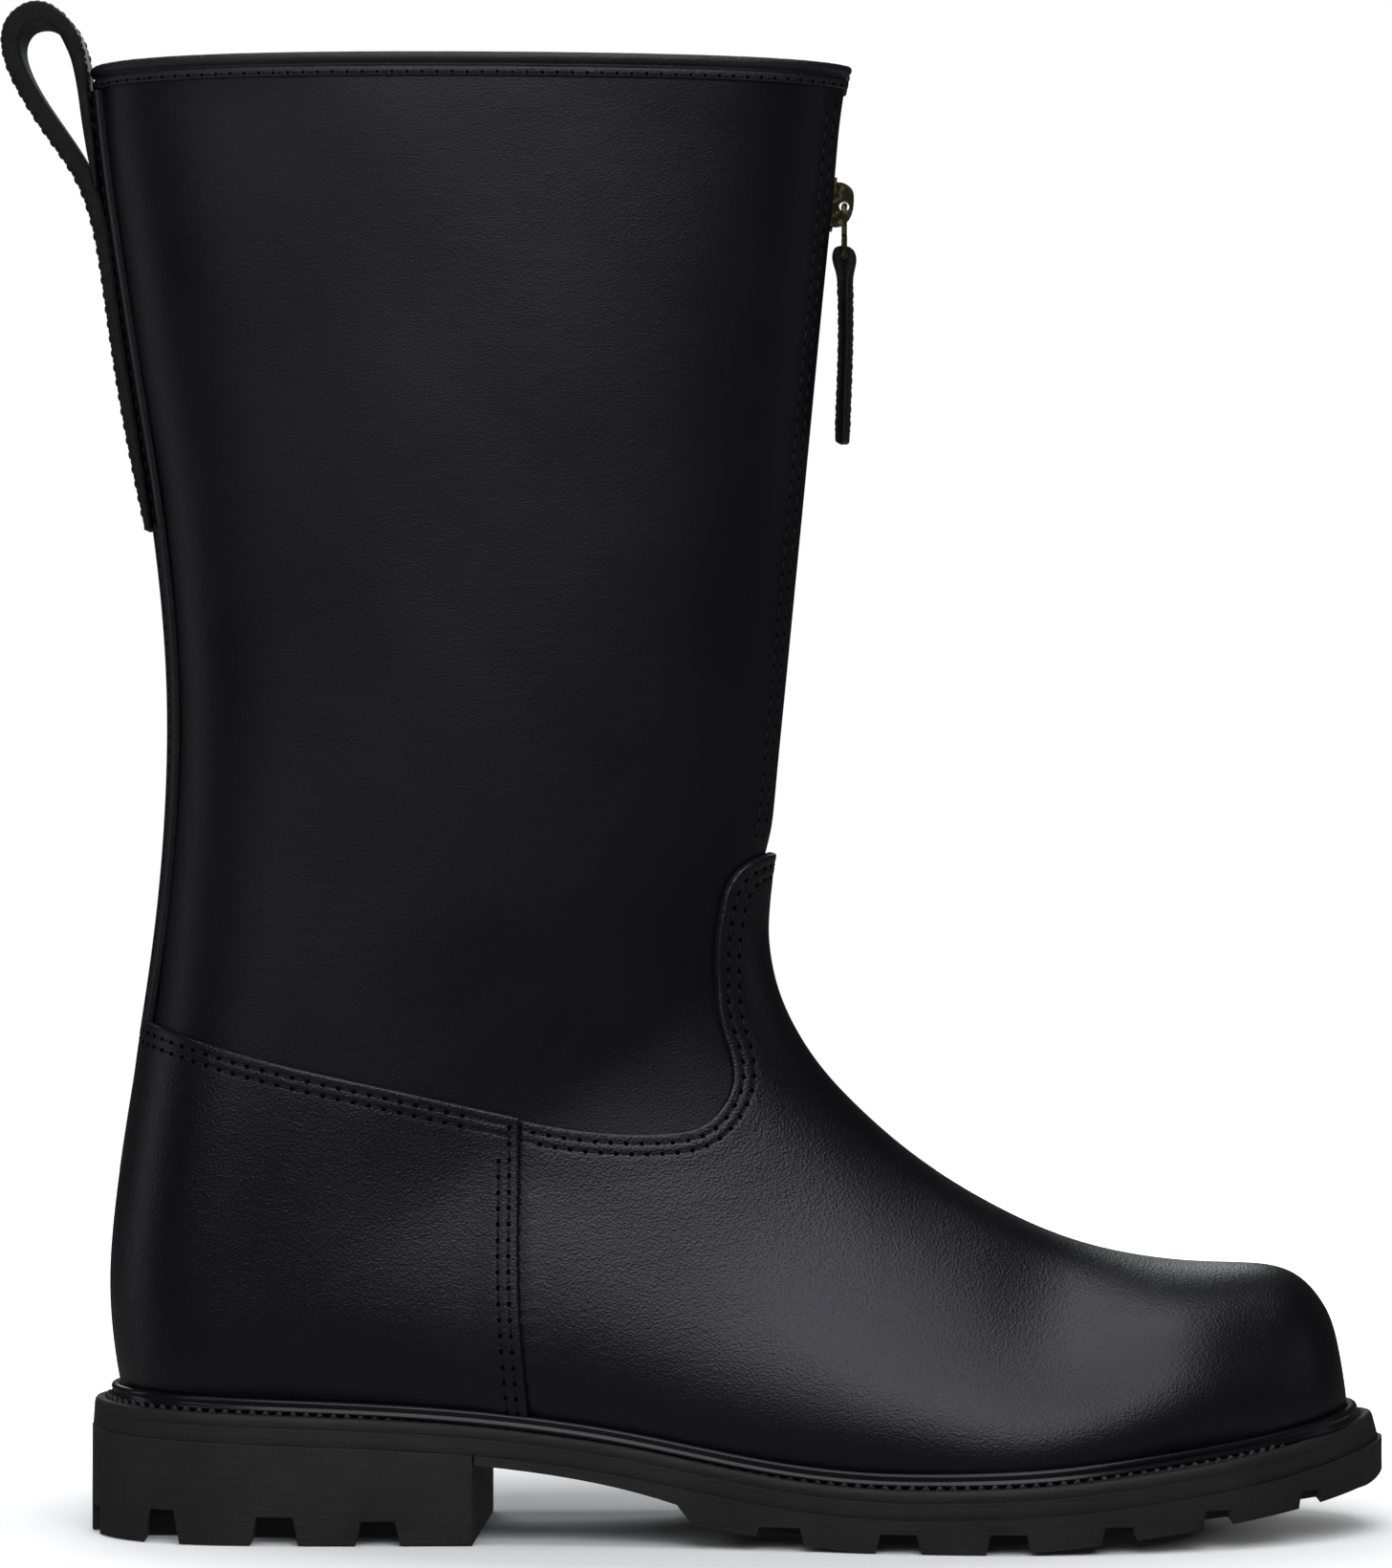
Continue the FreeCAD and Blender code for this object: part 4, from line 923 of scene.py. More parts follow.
@dataclass(frozen=True)
class ThreadFinish:
    """Waxed thread, twisted."""

    name: str
    dark: tuple[float, float, float] = (0.0010, 0.0010, 0.0012)
    light: tuple[float, float, float] = (0.0030, 0.0030, 0.0034)
    roughness: float = 0.62

    def build(self) -> bpy.types.Material:
        """Makes the material."""
        n = Nodes(self.name)
        twist = n.noise(2200.0, 2.0, 0.5, n.scaled((1.0, 1.0, 0.5), (0.6, 0.4, 0.2)))
        color = n.mixed(n.between(twist, 0.4, 0.65, 0.0, 1.0), self.dark, self.light)
        return n.finish(color, n.between(twist, 0.3, 0.7, self.roughness - 0.1, self.roughness + 0.15),
                        n.bump(twist, 0.00012, 0.8), IOR=1.33)


@dataclass(frozen=True)
class TapeFinish:
    """Herringbone-woven zip tape."""

    name: str
    dark: tuple[float, float, float] = (0.004, 0.004, 0.005)
    light: tuple[float, float, float] = (0.018, 0.018, 0.020)

    def build(self) -> bpy.types.Material:
        """Makes the material."""
        n = Nodes(self.name)
        warp = n.add("ShaderNodeTexWave", {"Vector": n.scaled((1.0, 1.0, 1.0), (0.75, 0.0, 0.0)), "Scale": 480.0,
                                           "Distortion": 0.6, "Detail": 1.0}, bands_direction="Y").outputs["Fac"]
        weft = n.add("ShaderNodeTexWave", {"Vector": n.scaled((1.0, 1.0, 1.0), (-0.75, 0.0, 0.0)), "Scale": 480.0,
                                           "Distortion": 0.6, "Detail": 1.0}, bands_direction="Y").outputs["Fac"]
        weave = n.maths("MULTIPLY", warp, weft)
        color = n.mixed(weave, self.dark, self.light)
        return n.finish(color, n.between(weave, 0.0, 1.0, 0.7, 0.9), n.bump(weave, 0.0002, 0.8), IOR=1.4)


@dataclass(frozen=True)
class InnerFinish:
    """Plain inner material, such as lining, board, cork or steel, with its own mottling."""

    name: str
    dark: tuple[float, float, float]
    light: tuple[float, float, float]
    roughness: float = 0.7
    metallic: float = 0.0
    speckle: float = 500.0
    ior: float = 1.42

    def build(self) -> bpy.types.Material:
        """Makes the material."""
        n = Nodes(self.name)
        fine = n.noise(self.speckle, 4.0, 0.6)
        broad = n.noise(25.0, 3.0, 0.5)
        color = n.mixed(n.maths("MULTIPLY", n.between(fine, 0.3, 0.7, 0.3, 1.0), n.between(broad, 0.2, 0.8, 0.5, 1.0)),
                        self.dark, self.light)
        rough = n.between(fine, 0.3, 0.7, self.roughness - 0.08, min(self.roughness + 0.1, 1.0))
        return n.finish(color, rough, n.bump(fine, 0.0001, 0.6), IOR=self.ior, Metallic=self.metallic)


class Finish(Enum):
    """The boot's finishes."""

    UPPER = LeatherFinish("upper_leather", grain=1750.0, grain_depth=0.00012, crease_depth=0.00012)
    SHAFT = LeatherFinish("shaft_leather", grain=2100.0, grain_depth=0.00007, crease_depth=0.0001,
                          roughness=(0.36, 0.44), ior=1.35)
    STRAP = LeatherFinish("strap_leather", grain=1900.0, roughness=(0.45, 0.58))
    BINDING = LeatherFinish("binding_leather", dark=(0.0025, 0.0025, 0.0028), light=(0.007, 0.007, 0.0073),
                            roughness=(0.42, 0.55), grain=1300.0, grain_depth=0.00014)
    RAND = LeatherFinish("rand_leather", dark=(0.0028, 0.0028, 0.0032), light=(0.004, 0.004, 0.0045),
                         roughness=(0.20, 0.28), grain=900.0, grain_depth=0.00001, crease_depth=0.00002, ior=1.36)
    LINING = LeatherFinish("lining_leather", dark=(0.020, 0.019, 0.018), light=(0.034, 0.032, 0.030),
                           roughness=(0.62, 0.75), grain=1500.0)
    CUT = EdgeFinish("cut_edge")
    LOOP_FACE = EdgeFinish("flesh_side", dark=(0.005, 0.005, 0.0055), light=(0.022, 0.0215, 0.021), fibre=1800.0)
    WELT = EdgeFinish("welt_leather", dark=(0.008, 0.008, 0.008), light=(0.03, 0.03, 0.03), fibre=900.0, depth=0.00015)
    RUBBER = RubberFinish("sole_rubber")
    SIDE = RubberFinish("buffed_edge", dark=(0.0050, 0.0047, 0.0047), light=(0.0105, 0.0098, 0.0096))
    BRASS = BrassFinish("antique_brass")
    THREAD = ThreadFinish("waxed_thread")
    WELT_THREAD = ThreadFinish("welt_thread", dark=(0.006, 0.006, 0.006), light=(0.035, 0.034, 0.033), roughness=0.6)
    # Near-black and without reflection: painted shade for the needle holes.
    HOLE_SHADE = InnerFinish("painted_hole_shade", (0.0008, 0.0008, 0.0008), (0.0016, 0.0016, 0.0016), 0.9, ior=1.02)
    TAPE = TapeFinish("zip_tape")
    BOARD = InnerFinish("leather_board", (0.08, 0.05, 0.03), (0.16, 0.11, 0.07), 0.8)
    CORK = InnerFinish("cork", (0.12, 0.07, 0.035), (0.30, 0.19, 0.10), 0.85, speckle=900.0)
    STEEL = InnerFinish("plain_steel", (0.25, 0.25, 0.26), (0.5, 0.5, 0.5), 0.35, 1.0)

    @property
    def material(self) -> bpy.types.Material:
        """The finish's material, made once."""
        return bpy.data.materials.get("finish_" + self.value.name) or self.value.build()


# ---- sub-assemblies ------------------------------------------------------------------------
def worn_copy(node: str, name: str, body: str, finish: Finish, width: float, angle: float) -> None:
    """Merged copy of a solid, with its flat faces joined and its edges bevelled.

    Args:
        node: CAD node that is copied and replaced.
        name: piece name.
        body: the CAD body it moves with.
        finish: its finish.
        width: width of the worn edge.
        angle: edges sharper than this are worn, in degrees.
    """
    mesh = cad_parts[node].data.copy()
    work = bmesh.new()
    work.from_mesh(mesh)
    bmesh.ops.remove_doubles(work, verts=work.verts, dist=2e-6)
    bmesh.ops.dissolve_limit(work, angle_limit=math.radians(1.0), verts=work.verts, edges=work.edges)
    work.to_mesh(mesh)
    work.free()
    mesh.name = name
    mesh.materials.clear()
    mesh.materials.append(finish.material)
    mesh.polygons.foreach_set("use_smooth", np.ones(len(mesh.polygons), bool))
    mesh.set_sharp_from_angle(angle=math.radians(38))
    made = bpy.data.objects.new(name, mesh)
    bpy.context.scene.collection.objects.link(made)
    bevel = made.modifiers.new("worn edge", "BEVEL")
    bevel.width, bevel.segments = width * MM, 2
    bevel.limit_method, bevel.angle_limit = "ANGLE", math.radians(angle)
    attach(made, body)
    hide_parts(node)


def swell(p: Array) -> Array:
    """Slow unevenness of stretched leather: a sum of three long waves, in millimetres."""
    x, y, z = p.T
    return (0.10 * np.sin(x / 13.0 + z / 21.0 + 0.7) + 0.08 * np.sin(z / 11.0 - x / 27.0 + y / 17.0)
            + 0.05 * np.sin(x / 7.3 + y / 9.1 + z / 8.7))


@dataclass
class Upper:
    """Vamp, quarter, shaft sides, linings, back strap and binding."""

    last: Last
    edge_round: float = 0.7     # radius of a cut edge
    row_near: float = 2.4       # stitch rows from a seam's edge
    row_far: float = 4.9
    groove: float = 0.10        # depth of the dent along a row
    lap: float = 0.9            # the quarter lies this much higher at its front edge
    flap_rows: tuple[float, float] = (2.5, 4.3)
    rim_row: float = 4.0        # below the top edge
    strap_row: float = 2.5      # in from the strap's edge
    quarter_top: SideCurve = field(default_factory=lambda: SideCurve(QUARTER_TOP))
    quarter_front: SideCurve = field(default_factory=lambda: SideCurve(QUARTER_FRONT))
    vamp_edge: SideCurve = field(default_factory=lambda: SideCurve(VAMP_EDGE))
    shaft_foot: SideCurve = field(default_factory=lambda: SideCurve(SHAFT_FOOT))

    def relief(self, d: Array, rows: Sequence[float], thickness: float) -> Array:
        """Offset lost near a cut edge and along stitch rows.

        The edge is a quarter circle: thickness share 1 - root of (1 - (1 - d/r)^2). A row is a
        bell-shaped dent, and between two rows the leather stands slightly proud.

        Args:
            d: distances from the edge.
            rows: distances of the stitch rows from it.
            thickness: leather thickness.

        Returns:
            Millimetres lost at each distance.
        """
        u = np.clip(1 - d / self.edge_round, 0, 1)
        lost = thickness * 0.38 * (1 - np.sqrt(np.clip(1 - u * u, 0, 1)))
        for row in rows:
            lost = lost + self.groove * np.exp(-((d - row) / 0.55) ** 2)
        if len(rows) == 2:
            middle = sum(rows) / 2
            lost = lost - 0.05 * np.exp(-((d - middle) / 0.75) ** 2)
        return lost

    @staticmethod
    def levels(rows: Sequence[float]) -> list[float]:
        """Distances from an edge at which the patch gets extra corners."""
        made = [0.0, 0.25, 0.6, 1.1]
        for row in rows:
            made += [row - 0.8, row - 0.35, row, row + 0.35, row + 0.8]
        return sorted(set(made))

    def vamp(self) -> None:
        """The front of the foot, one piece over the instep and round the toe."""
        rows = (self.row_near, self.row_far)
        patch = Patch.grid((-1.0, 17.8), 150, (0.0, 2 * math.pi), 230)
        patch = patch.cut(self.last, lambda p: above_welt(p) - FEATHER)
        def seam(p: Array) -> Array:
            return -self.quarter_front.distance(p)

        patch = patch.cut(self.last, seam)
        patch = patch.cut(self.last, self.vamp_edge.distance, self.levels(rows))
        p = self.last.point(patch.t, patch.phi)
        d = self.vamp_edge.distance(p)
        outer = FOOT_OUT - self.relief(d, rows, FOOT_LEATHER) + swell(p) * smoothstep(d, 6.5, 16)
        outer = outer - 0.55 * (1 - smoothstep(seam(p), 0.0, 1.2))
        self.make("vamp_piece", patch, outer, SEAT * 0.5, Finish.UPPER, ["vamp"])

    def quarter(self) -> None:
        """The heel part, lapped over the vamp at its front edge."""
        rows = (self.row_near, self.row_far)
        patch = Patch.grid((9.6, 19.6), 110, (-2.75, 2.75), 230)
        patch = patch.cut(self.last, lambda p: above_welt(p) - FEATHER)
        patch = patch.cut(self.last, self.quarter_top.distance, self.levels(rows))
        patch = patch.cut(self.last, self.quarter_front.distance, self.levels(rows))
        p = self.last.point(patch.t, patch.phi)
        top, front = self.quarter_top.distance(p), self.quarter_front.distance(p)
        outer = (FOOT_OUT + swell(p) * smoothstep(np.minimum(top, front), 6.5, 16)
                 + self.lap * (1 - smoothstep(front, 2.0, 13.0)))
        outer = outer - self.relief(np.minimum(top, front), (), FOOT_LEATHER)
        clear = smoothstep(front, self.row_near - 0.8, self.row_near)
        outer = outer - self.relief(np.maximum(top, 1.0), rows, 0.0) * clear
        clear = smoothstep(top, self.row_near - 0.8, self.row_near)
        outer = outer - self.relief(np.maximum(front, 1.0), rows, 0.0) * clear
        self.make("quarter_piece", patch, outer, SEAT * 0.5, Finish.UPPER, ["quarter"])

    def shaft(self) -> None:
        """Two sides of the shaft, from under the foot pieces to the top edge."""
        for side, name in ((-1, "shaft_lateral"), (1, "shaft_medial")):
            span = (0.0, math.pi) if side > 0 else (-math.pi, 0.0)
            patch = Patch.grid((9.5, 27.0), 150, span, 120)
            patch = patch.cut(self.last, lambda p: -self.shaft_foot.distance(p))
            patch = patch.cut(self.last, lambda p: EDGE_Z - p[:, 2],
                              [0.0, self.rim_row - 3.1, self.rim_row - 2.6, self.rim_row - 2.4, self.rim_row - 2.0,
                               self.rim_row - 1.6])
            patch = patch.cut(self.last, self.flap, [0.0, 0.35, 0.8])
            patch = patch.cut(self.last, lambda p: np.abs(p[:, 1]) - 0.1)
            p = self.last.point(patch.t, patch.phi)
            behind = self.last.ridge(p[:, 2]) - p[:, 0]
            above_tab = smoothstep(p[:, 2], 158.0, 166.0)
            outer = swell(p) * smoothstep(behind, 3.0, 20.0) * smoothstep(EDGE_Z - p[:, 2], 0.0, 10.0) * 1.1
            for row in self.flap_rows:
                outer = outer - self.groove * 0.8 * np.exp(-((behind - row) / 0.6) ** 2) * above_tab
            outer = outer - self.groove * 0.8 * np.exp(-((BOOT_HEIGHT - self.rim_row - p[:, 2]) / 0.55) ** 2)
            u = np.clip(1 - self.flap(p) / 0.9, 0, 1)
            outer = outer - 0.8 * (1 - np.sqrt(1 - u * u))
            self.make(name + "_piece", patch, outer, SHAFT_IN, Finish.SHAFT, [name])

    @staticmethod
    def flap(p: Array) -> Array:
        """Distance from the free front edge, which stands beside the middle plane."""
        return np.where(p[:, 0] > FRONT_X, np.abs(p[:, 1]) - GAP_HALF, 50.0)

    def linings(self) -> None:
        """Inner skins of shaft and foot."""
        patch = Patch.grid((9.5, 27.0), 90, (0.0, 2 * math.pi), 160)
        patch = patch.cut(self.last, lambda p: -self.shaft_foot.distance(p))
        patch = patch.cut(self.last, lambda p: EDGE_Z - p[:, 2])
        patch = patch.cut(self.last, lambda p: np.where(p[:, 0] > FRONT_X, np.abs(p[:, 1]) - TAPE_HALF - 0.4, 50.0))
        self.make("shaft_lining_piece", patch, LINING_OUT, LINING_IN, Finish.LINING, ["shaft_lining"])
        patch = Patch.grid((1.3, 19.6), 110, (0.0, 2 * math.pi), 160)
        patch = patch.cut(self.last, lambda p: above_welt(p) - FEATHER - 1.0)
        patch = patch.cut(self.last, lambda p: self.shaft_foot.distance(p) - 0.3)
        self.make("foot_lining_piece", patch, LINING_OUT, LINING_IN, Finish.LINING, ["foot_lining"])

    def back_strap(self) -> None:
        """Strip over the back seam."""
        rows = (self.strap_row,)
        patch = Patch.grid((17.8, 27.0), 190, (-0.36, 0.36), 26)
        patch = patch.cut(self.last, lambda p: EDGE_Z - 3.6 - p[:, 2], (0.0, 0.4))
        patch = patch.cut(self.last, lambda p: p[:, 2] - 119.0)
        def edge(p: Array) -> Array:
            return STRAP_HALF - np.abs(p[:, 1])

        patch = patch.cut(self.last, edge, self.levels(rows))
        p = self.last.point(patch.t, patch.phi)
        outer = SEAT + 1.7 - self.relief(edge(p), rows, 1.7)
        self.make("back_strap_piece", patch, outer, SEAT * 0.5, Finish.STRAP, ["back_strap"])

    def make(self, name: str, patch: Patch, outer: Array | float, inner: float, finish: Finish,
             nodes: Sequence[str]) -> None:
        """Closed leather piece of a patch, with its cut edge.

        Args:
            name: piece name.
            patch: trimmed domain.
            outer: offset of the outer face.
            inner: offset of the inner face.
            finish: finish of both faces.
            nodes: CAD nodes that it stands for.
        """
        edge = Finish.CUT if finish is not Finish.LINING else Finish.LINING
        mesh_piece(name, leather_shell(self.last, patch, outer, inner), [finish.material, edge.material],
                   nodes=nodes)

    def binding(self) -> None:
        """Folded strip over the top edge: a rolled bead above, a flat band below it.

        Its section is a list of (offset, height below the top): up the outer band, a groove, the
        bead over the edge, and down the inner side.
        """
        section = [(0.15, 5.6), (0.55, 5.75), (0.85, 5.5), (0.95, 4.9), (0.95, 4.1), (0.72, 3.55),
                   (0.30, 3.15), (0.22, 2.85), (0.55, 2.5), (1.05, 2.1), (1.25, 1.5), (1.15, 0.85),
                   (0.75, 0.3), (0.1, 0.05), (-1.6, 0.0), (-3.4, 0.1), (-4.0, 0.5), (-4.25, 1.2),
                   (-4.2, 3.0), (-4.2, 5.5), (-3.9, 5.8), (-3.5, 5.6), (-3.4, 2.4), (-1.7, 2.3), (0.1, 2.4)]
        section = np.array(section)
        ease = Spline(np.arange(len(section)), section)(np.linspace(0, len(section) - 1, 60))
        start = math.pi - 0.16
        phi = np.concatenate([np.linspace(-start, -start + 0.3, 24)[:-1], np.linspace(-start + 0.3, start - 0.3, 190),
                              np.linspace(start - 0.3, start, 24)[1:]])
        rings = []
        for off, down in ease:
            z = BOOT_HEIGHT - down
            t = self.last.cross(phi, lambda p: p[:, 2] - z, 20.0, 27.0)
            base = self.last.point(t, phi)
            out = self.last.normal(t, phi) * np.array([1.0, 1.0, 0.0])
            ripple = 0.07 * np.sin(np.arange(len(phi)) * 2.1 + down * 1.7) + 0.05 * np.sin(np.arange(len(phi)) * 0.83)
            rings.append(base + unit(out) * (off + ripple * (down < 2.4))[:, None])
        rings = np.stack(rings, axis=1)
        gap = np.abs(rings[:, :, 1]) < GAP_HALF
        rings[:, :, 1] = np.where(gap & (rings[:, :, 0] > FRONT_X), np.sign(phi)[:, None] * GAP_HALF, rings[:, :, 1])
        mesh_piece("rim_binding", swept(rings, False), [Finish.BINDING.material], nodes=["topline_binding"],
                   crease=60)

    # -- seams
    def row_on(self, side_view: Array, side: int, offset: float) -> tuple[Array, Array]:
        """Lifts a side-view line to the leather's face.

        Args:
            side_view: rows of x, z.
            side: -1 lateral, +1 medial.
            offset: distance of the face from the body surface.

        Returns:
            Path and normals.
        """
        t, phi = self.last.lift(side_view, side)
        return self.last.skin(t, phi, offset), self.last.normal(t, phi)

    def stitches(self) -> None:
        """Every row of the upper, as threads and the dark caps of painted shade at the needle holes."""
        thread = Thread()
        made = []
        # seam round the vamp's upper edge, over the instep from side to side
        for k, gap in enumerate((self.row_near, self.row_far)):
            line = even(self.vamp_edge.shifted(gap), 0.25)
            line = line[line[:, 0] > SEAM_X + 1.6]
            halves = []
            for side in (-1, 1):
                ridge = self.last.ridge(line[:, 1])
                seen = line[(line[:, 0] < ridge) | (line[:, 1] < 130)]
                halves.append(self.row_on(seen, side, FOOT_OUT - self.groove))
            path = np.concatenate([halves[0][0], halves[1][0][::-1]])
            normals = np.concatenate([halves[0][1], halves[1][1][::-1]])
            made.append(stitch_row(path, normals, thread, 0.5 * k))
        # seam along the quarter's top, round the heel
        for k, gap in enumerate((self.row_near, self.row_far)):
            phi = np.linspace(-2.4, 2.4, 900)
            t = self.last.cross(phi, lambda p: gap - self.quarter_top.distance(p), 10.0, 20.0)
            path = self.last.skin(t, phi, FOOT_OUT - self.groove)
            good = path[:, 0] < 67.6 - (1.0 if k == 0 else 3.2)
            made.append(stitch_row(path[good], self.last.normal(t, phi)[good], thread, 0.5 * k))
        # upright seam of the quarter's front edge
        for side in (-1, 1):
            for k, gap in enumerate((self.row_near, self.row_far)):
                line = even(self.quarter_front.shifted(gap), 0.4)
                top = 99.5 if k == 0 else 93.5
                line = line[(line[:, 1] < top) & (line[:, 1] > WELT_LINE(line[:, 0]) + 4.2)]
                height = FOOT_OUT + self.lap * float(1 - smoothstep(np.array(gap), 2.0, 13.0)) - self.groove
                made.append(stitch_row(*self.row_on(line, side, height), thread, 0.5 * k))
        # shaft: two rows behind each free front edge, one below the binding
        fine = Thread(width=0.30, rise=0.2, hole_shade=0.36)
        z = np.linspace(EDGE_Z - 6.5, 166.0, 900)
        for side in (-1, 1):
            for k, gap in enumerate(self.flap_rows):
                line = np.stack([self.last.ridge(z) - gap, z], 1)
                made.append(stitch_row(*self.row_on(line, side, -0.08), fine, 0.5 * k))
        height = BOOT_HEIGHT - self.rim_row - 0.9
        start = math.pi - 0.22
        for low, high in ((-start, -0.24), (0.24, start)):
            phi = np.linspace(low, high, 700)
            t = self.last.cross(phi, lambda p: p[:, 2] - height, 20.0, 27.0)
            made.append(stitch_row(self.last.skin(t, phi, 0.98), self.last.normal(t, phi),
                                   Thread(pitch=3.5, width=0.3, rise=0.22, hole_shade=0.42)))
        # back strap
        for side in (-1, 1):
            t = np.linspace(18.3, 25.62, 700)
            phi = self.last.angle_at_y(t, side * (STRAP_HALF - self.strap_row))
            made.append(stitch_row(self.last.skin(t, phi, SEAT + 1.62), self.last.normal(t, phi), thread))
        mesh_piece("upper_stitches", together(made), [Finish.THREAD.material, Finish.HOLE_SHADE.material],
                   crease=70)

    def build(self) -> None:
        """Makes every piece of the upper."""
        self.vamp()
        self.quarter()
        self.shaft()
        self.linings()
        self.back_strap()
        self.binding()
        self.stitches()


@dataclass
class PullLoop:
    """Folded strap at the back: a tail stitched to the back strap and an open loop above."""

    last: Last
    half_width: float = STRAP_HALF
    row: float = 2.4            # stitch rows from the strap's edges
    sewn: tuple[int, int] = (6, 236)     # rings between which the strap is stitched

    def build(self) -> None:
        """Carries a rounded oblong section along the stations between the two faces.

        A ring's point is the blend of outer and inner face by v, and y is the half-width times w,
        where (v, w) runs round the oblong.
        """
        stations = np.array(LOOP_STATIONS, float).reshape(-1, 4)
        curve = Spline(np.arange(len(stations)), stations)
        rows = curve(np.linspace(0, len(stations) - 1, 260))
        outer, inner = rows[:, :2], rows[:, 2:]
        w, v = oblong(np.linspace(0, 2 * math.pi, 33)[:-1] + 1e-6, 0.18, 0.5)
        middle, half = (outer + inner) / 2, (outer - inner) / 2
        xz = middle[:, None] + half[:, None] * v[None, :, None]
        y = self.half_width * w[None] + 0.12 * np.sin(np.arange(len(rows)) * 0.37)[:, None] * np.sign(w)[None]
        rings = np.stack([xz[..., 0], y, xz[..., 1]], axis=-1)
        shape = swept(rings, False)
        quads = shape.faces[0]
        across = quads[:, 0] % len(w)
        edge = np.abs(w[across] + w[(across + 1) % len(w)]) / 2 > 0.93
        inside = (v[across] < 0) & ~edge
        outside = ~edge & ~inside
        parts = Shape(shape.points, [quads[outside], quads[edge], quads[inside]] + shape.faces[1:], [0, 1, 2, 1, 1])
        mesh_piece("pull_loop_strap", parts,
                   [Finish.STRAP.material, Finish.CUT.material, Finish.LOOP_FACE.material],
                   nodes=["pull_loop"], crease=50)
        run = unit(np.gradient(outer, axis=0))
        out = np.stack([-run[:, 1], np.zeros(len(run)), run[:, 0]], 1)
        if (out[:, [0, 2]] * (outer - inner)).sum() < 0:
            out = -out
        made = []
        thread = Thread(pitch=3.5, width=0.42, rise=0.34, hole_shade=0.5)
        sewn = slice(*self.sewn)
        for y0 in (-self.half_width + self.row, self.half_width - self.row):
            path = np.stack([outer[:, 0], np.full(len(outer), y0), outer[:, 1]], 1)[sewn]
            made.append(stitch_row(path, out[sewn], thread))
        mesh_piece("loop_stitches", together(made), [Finish.THREAD.material, Finish.HOLE_SHADE.material],
                   crease=70)


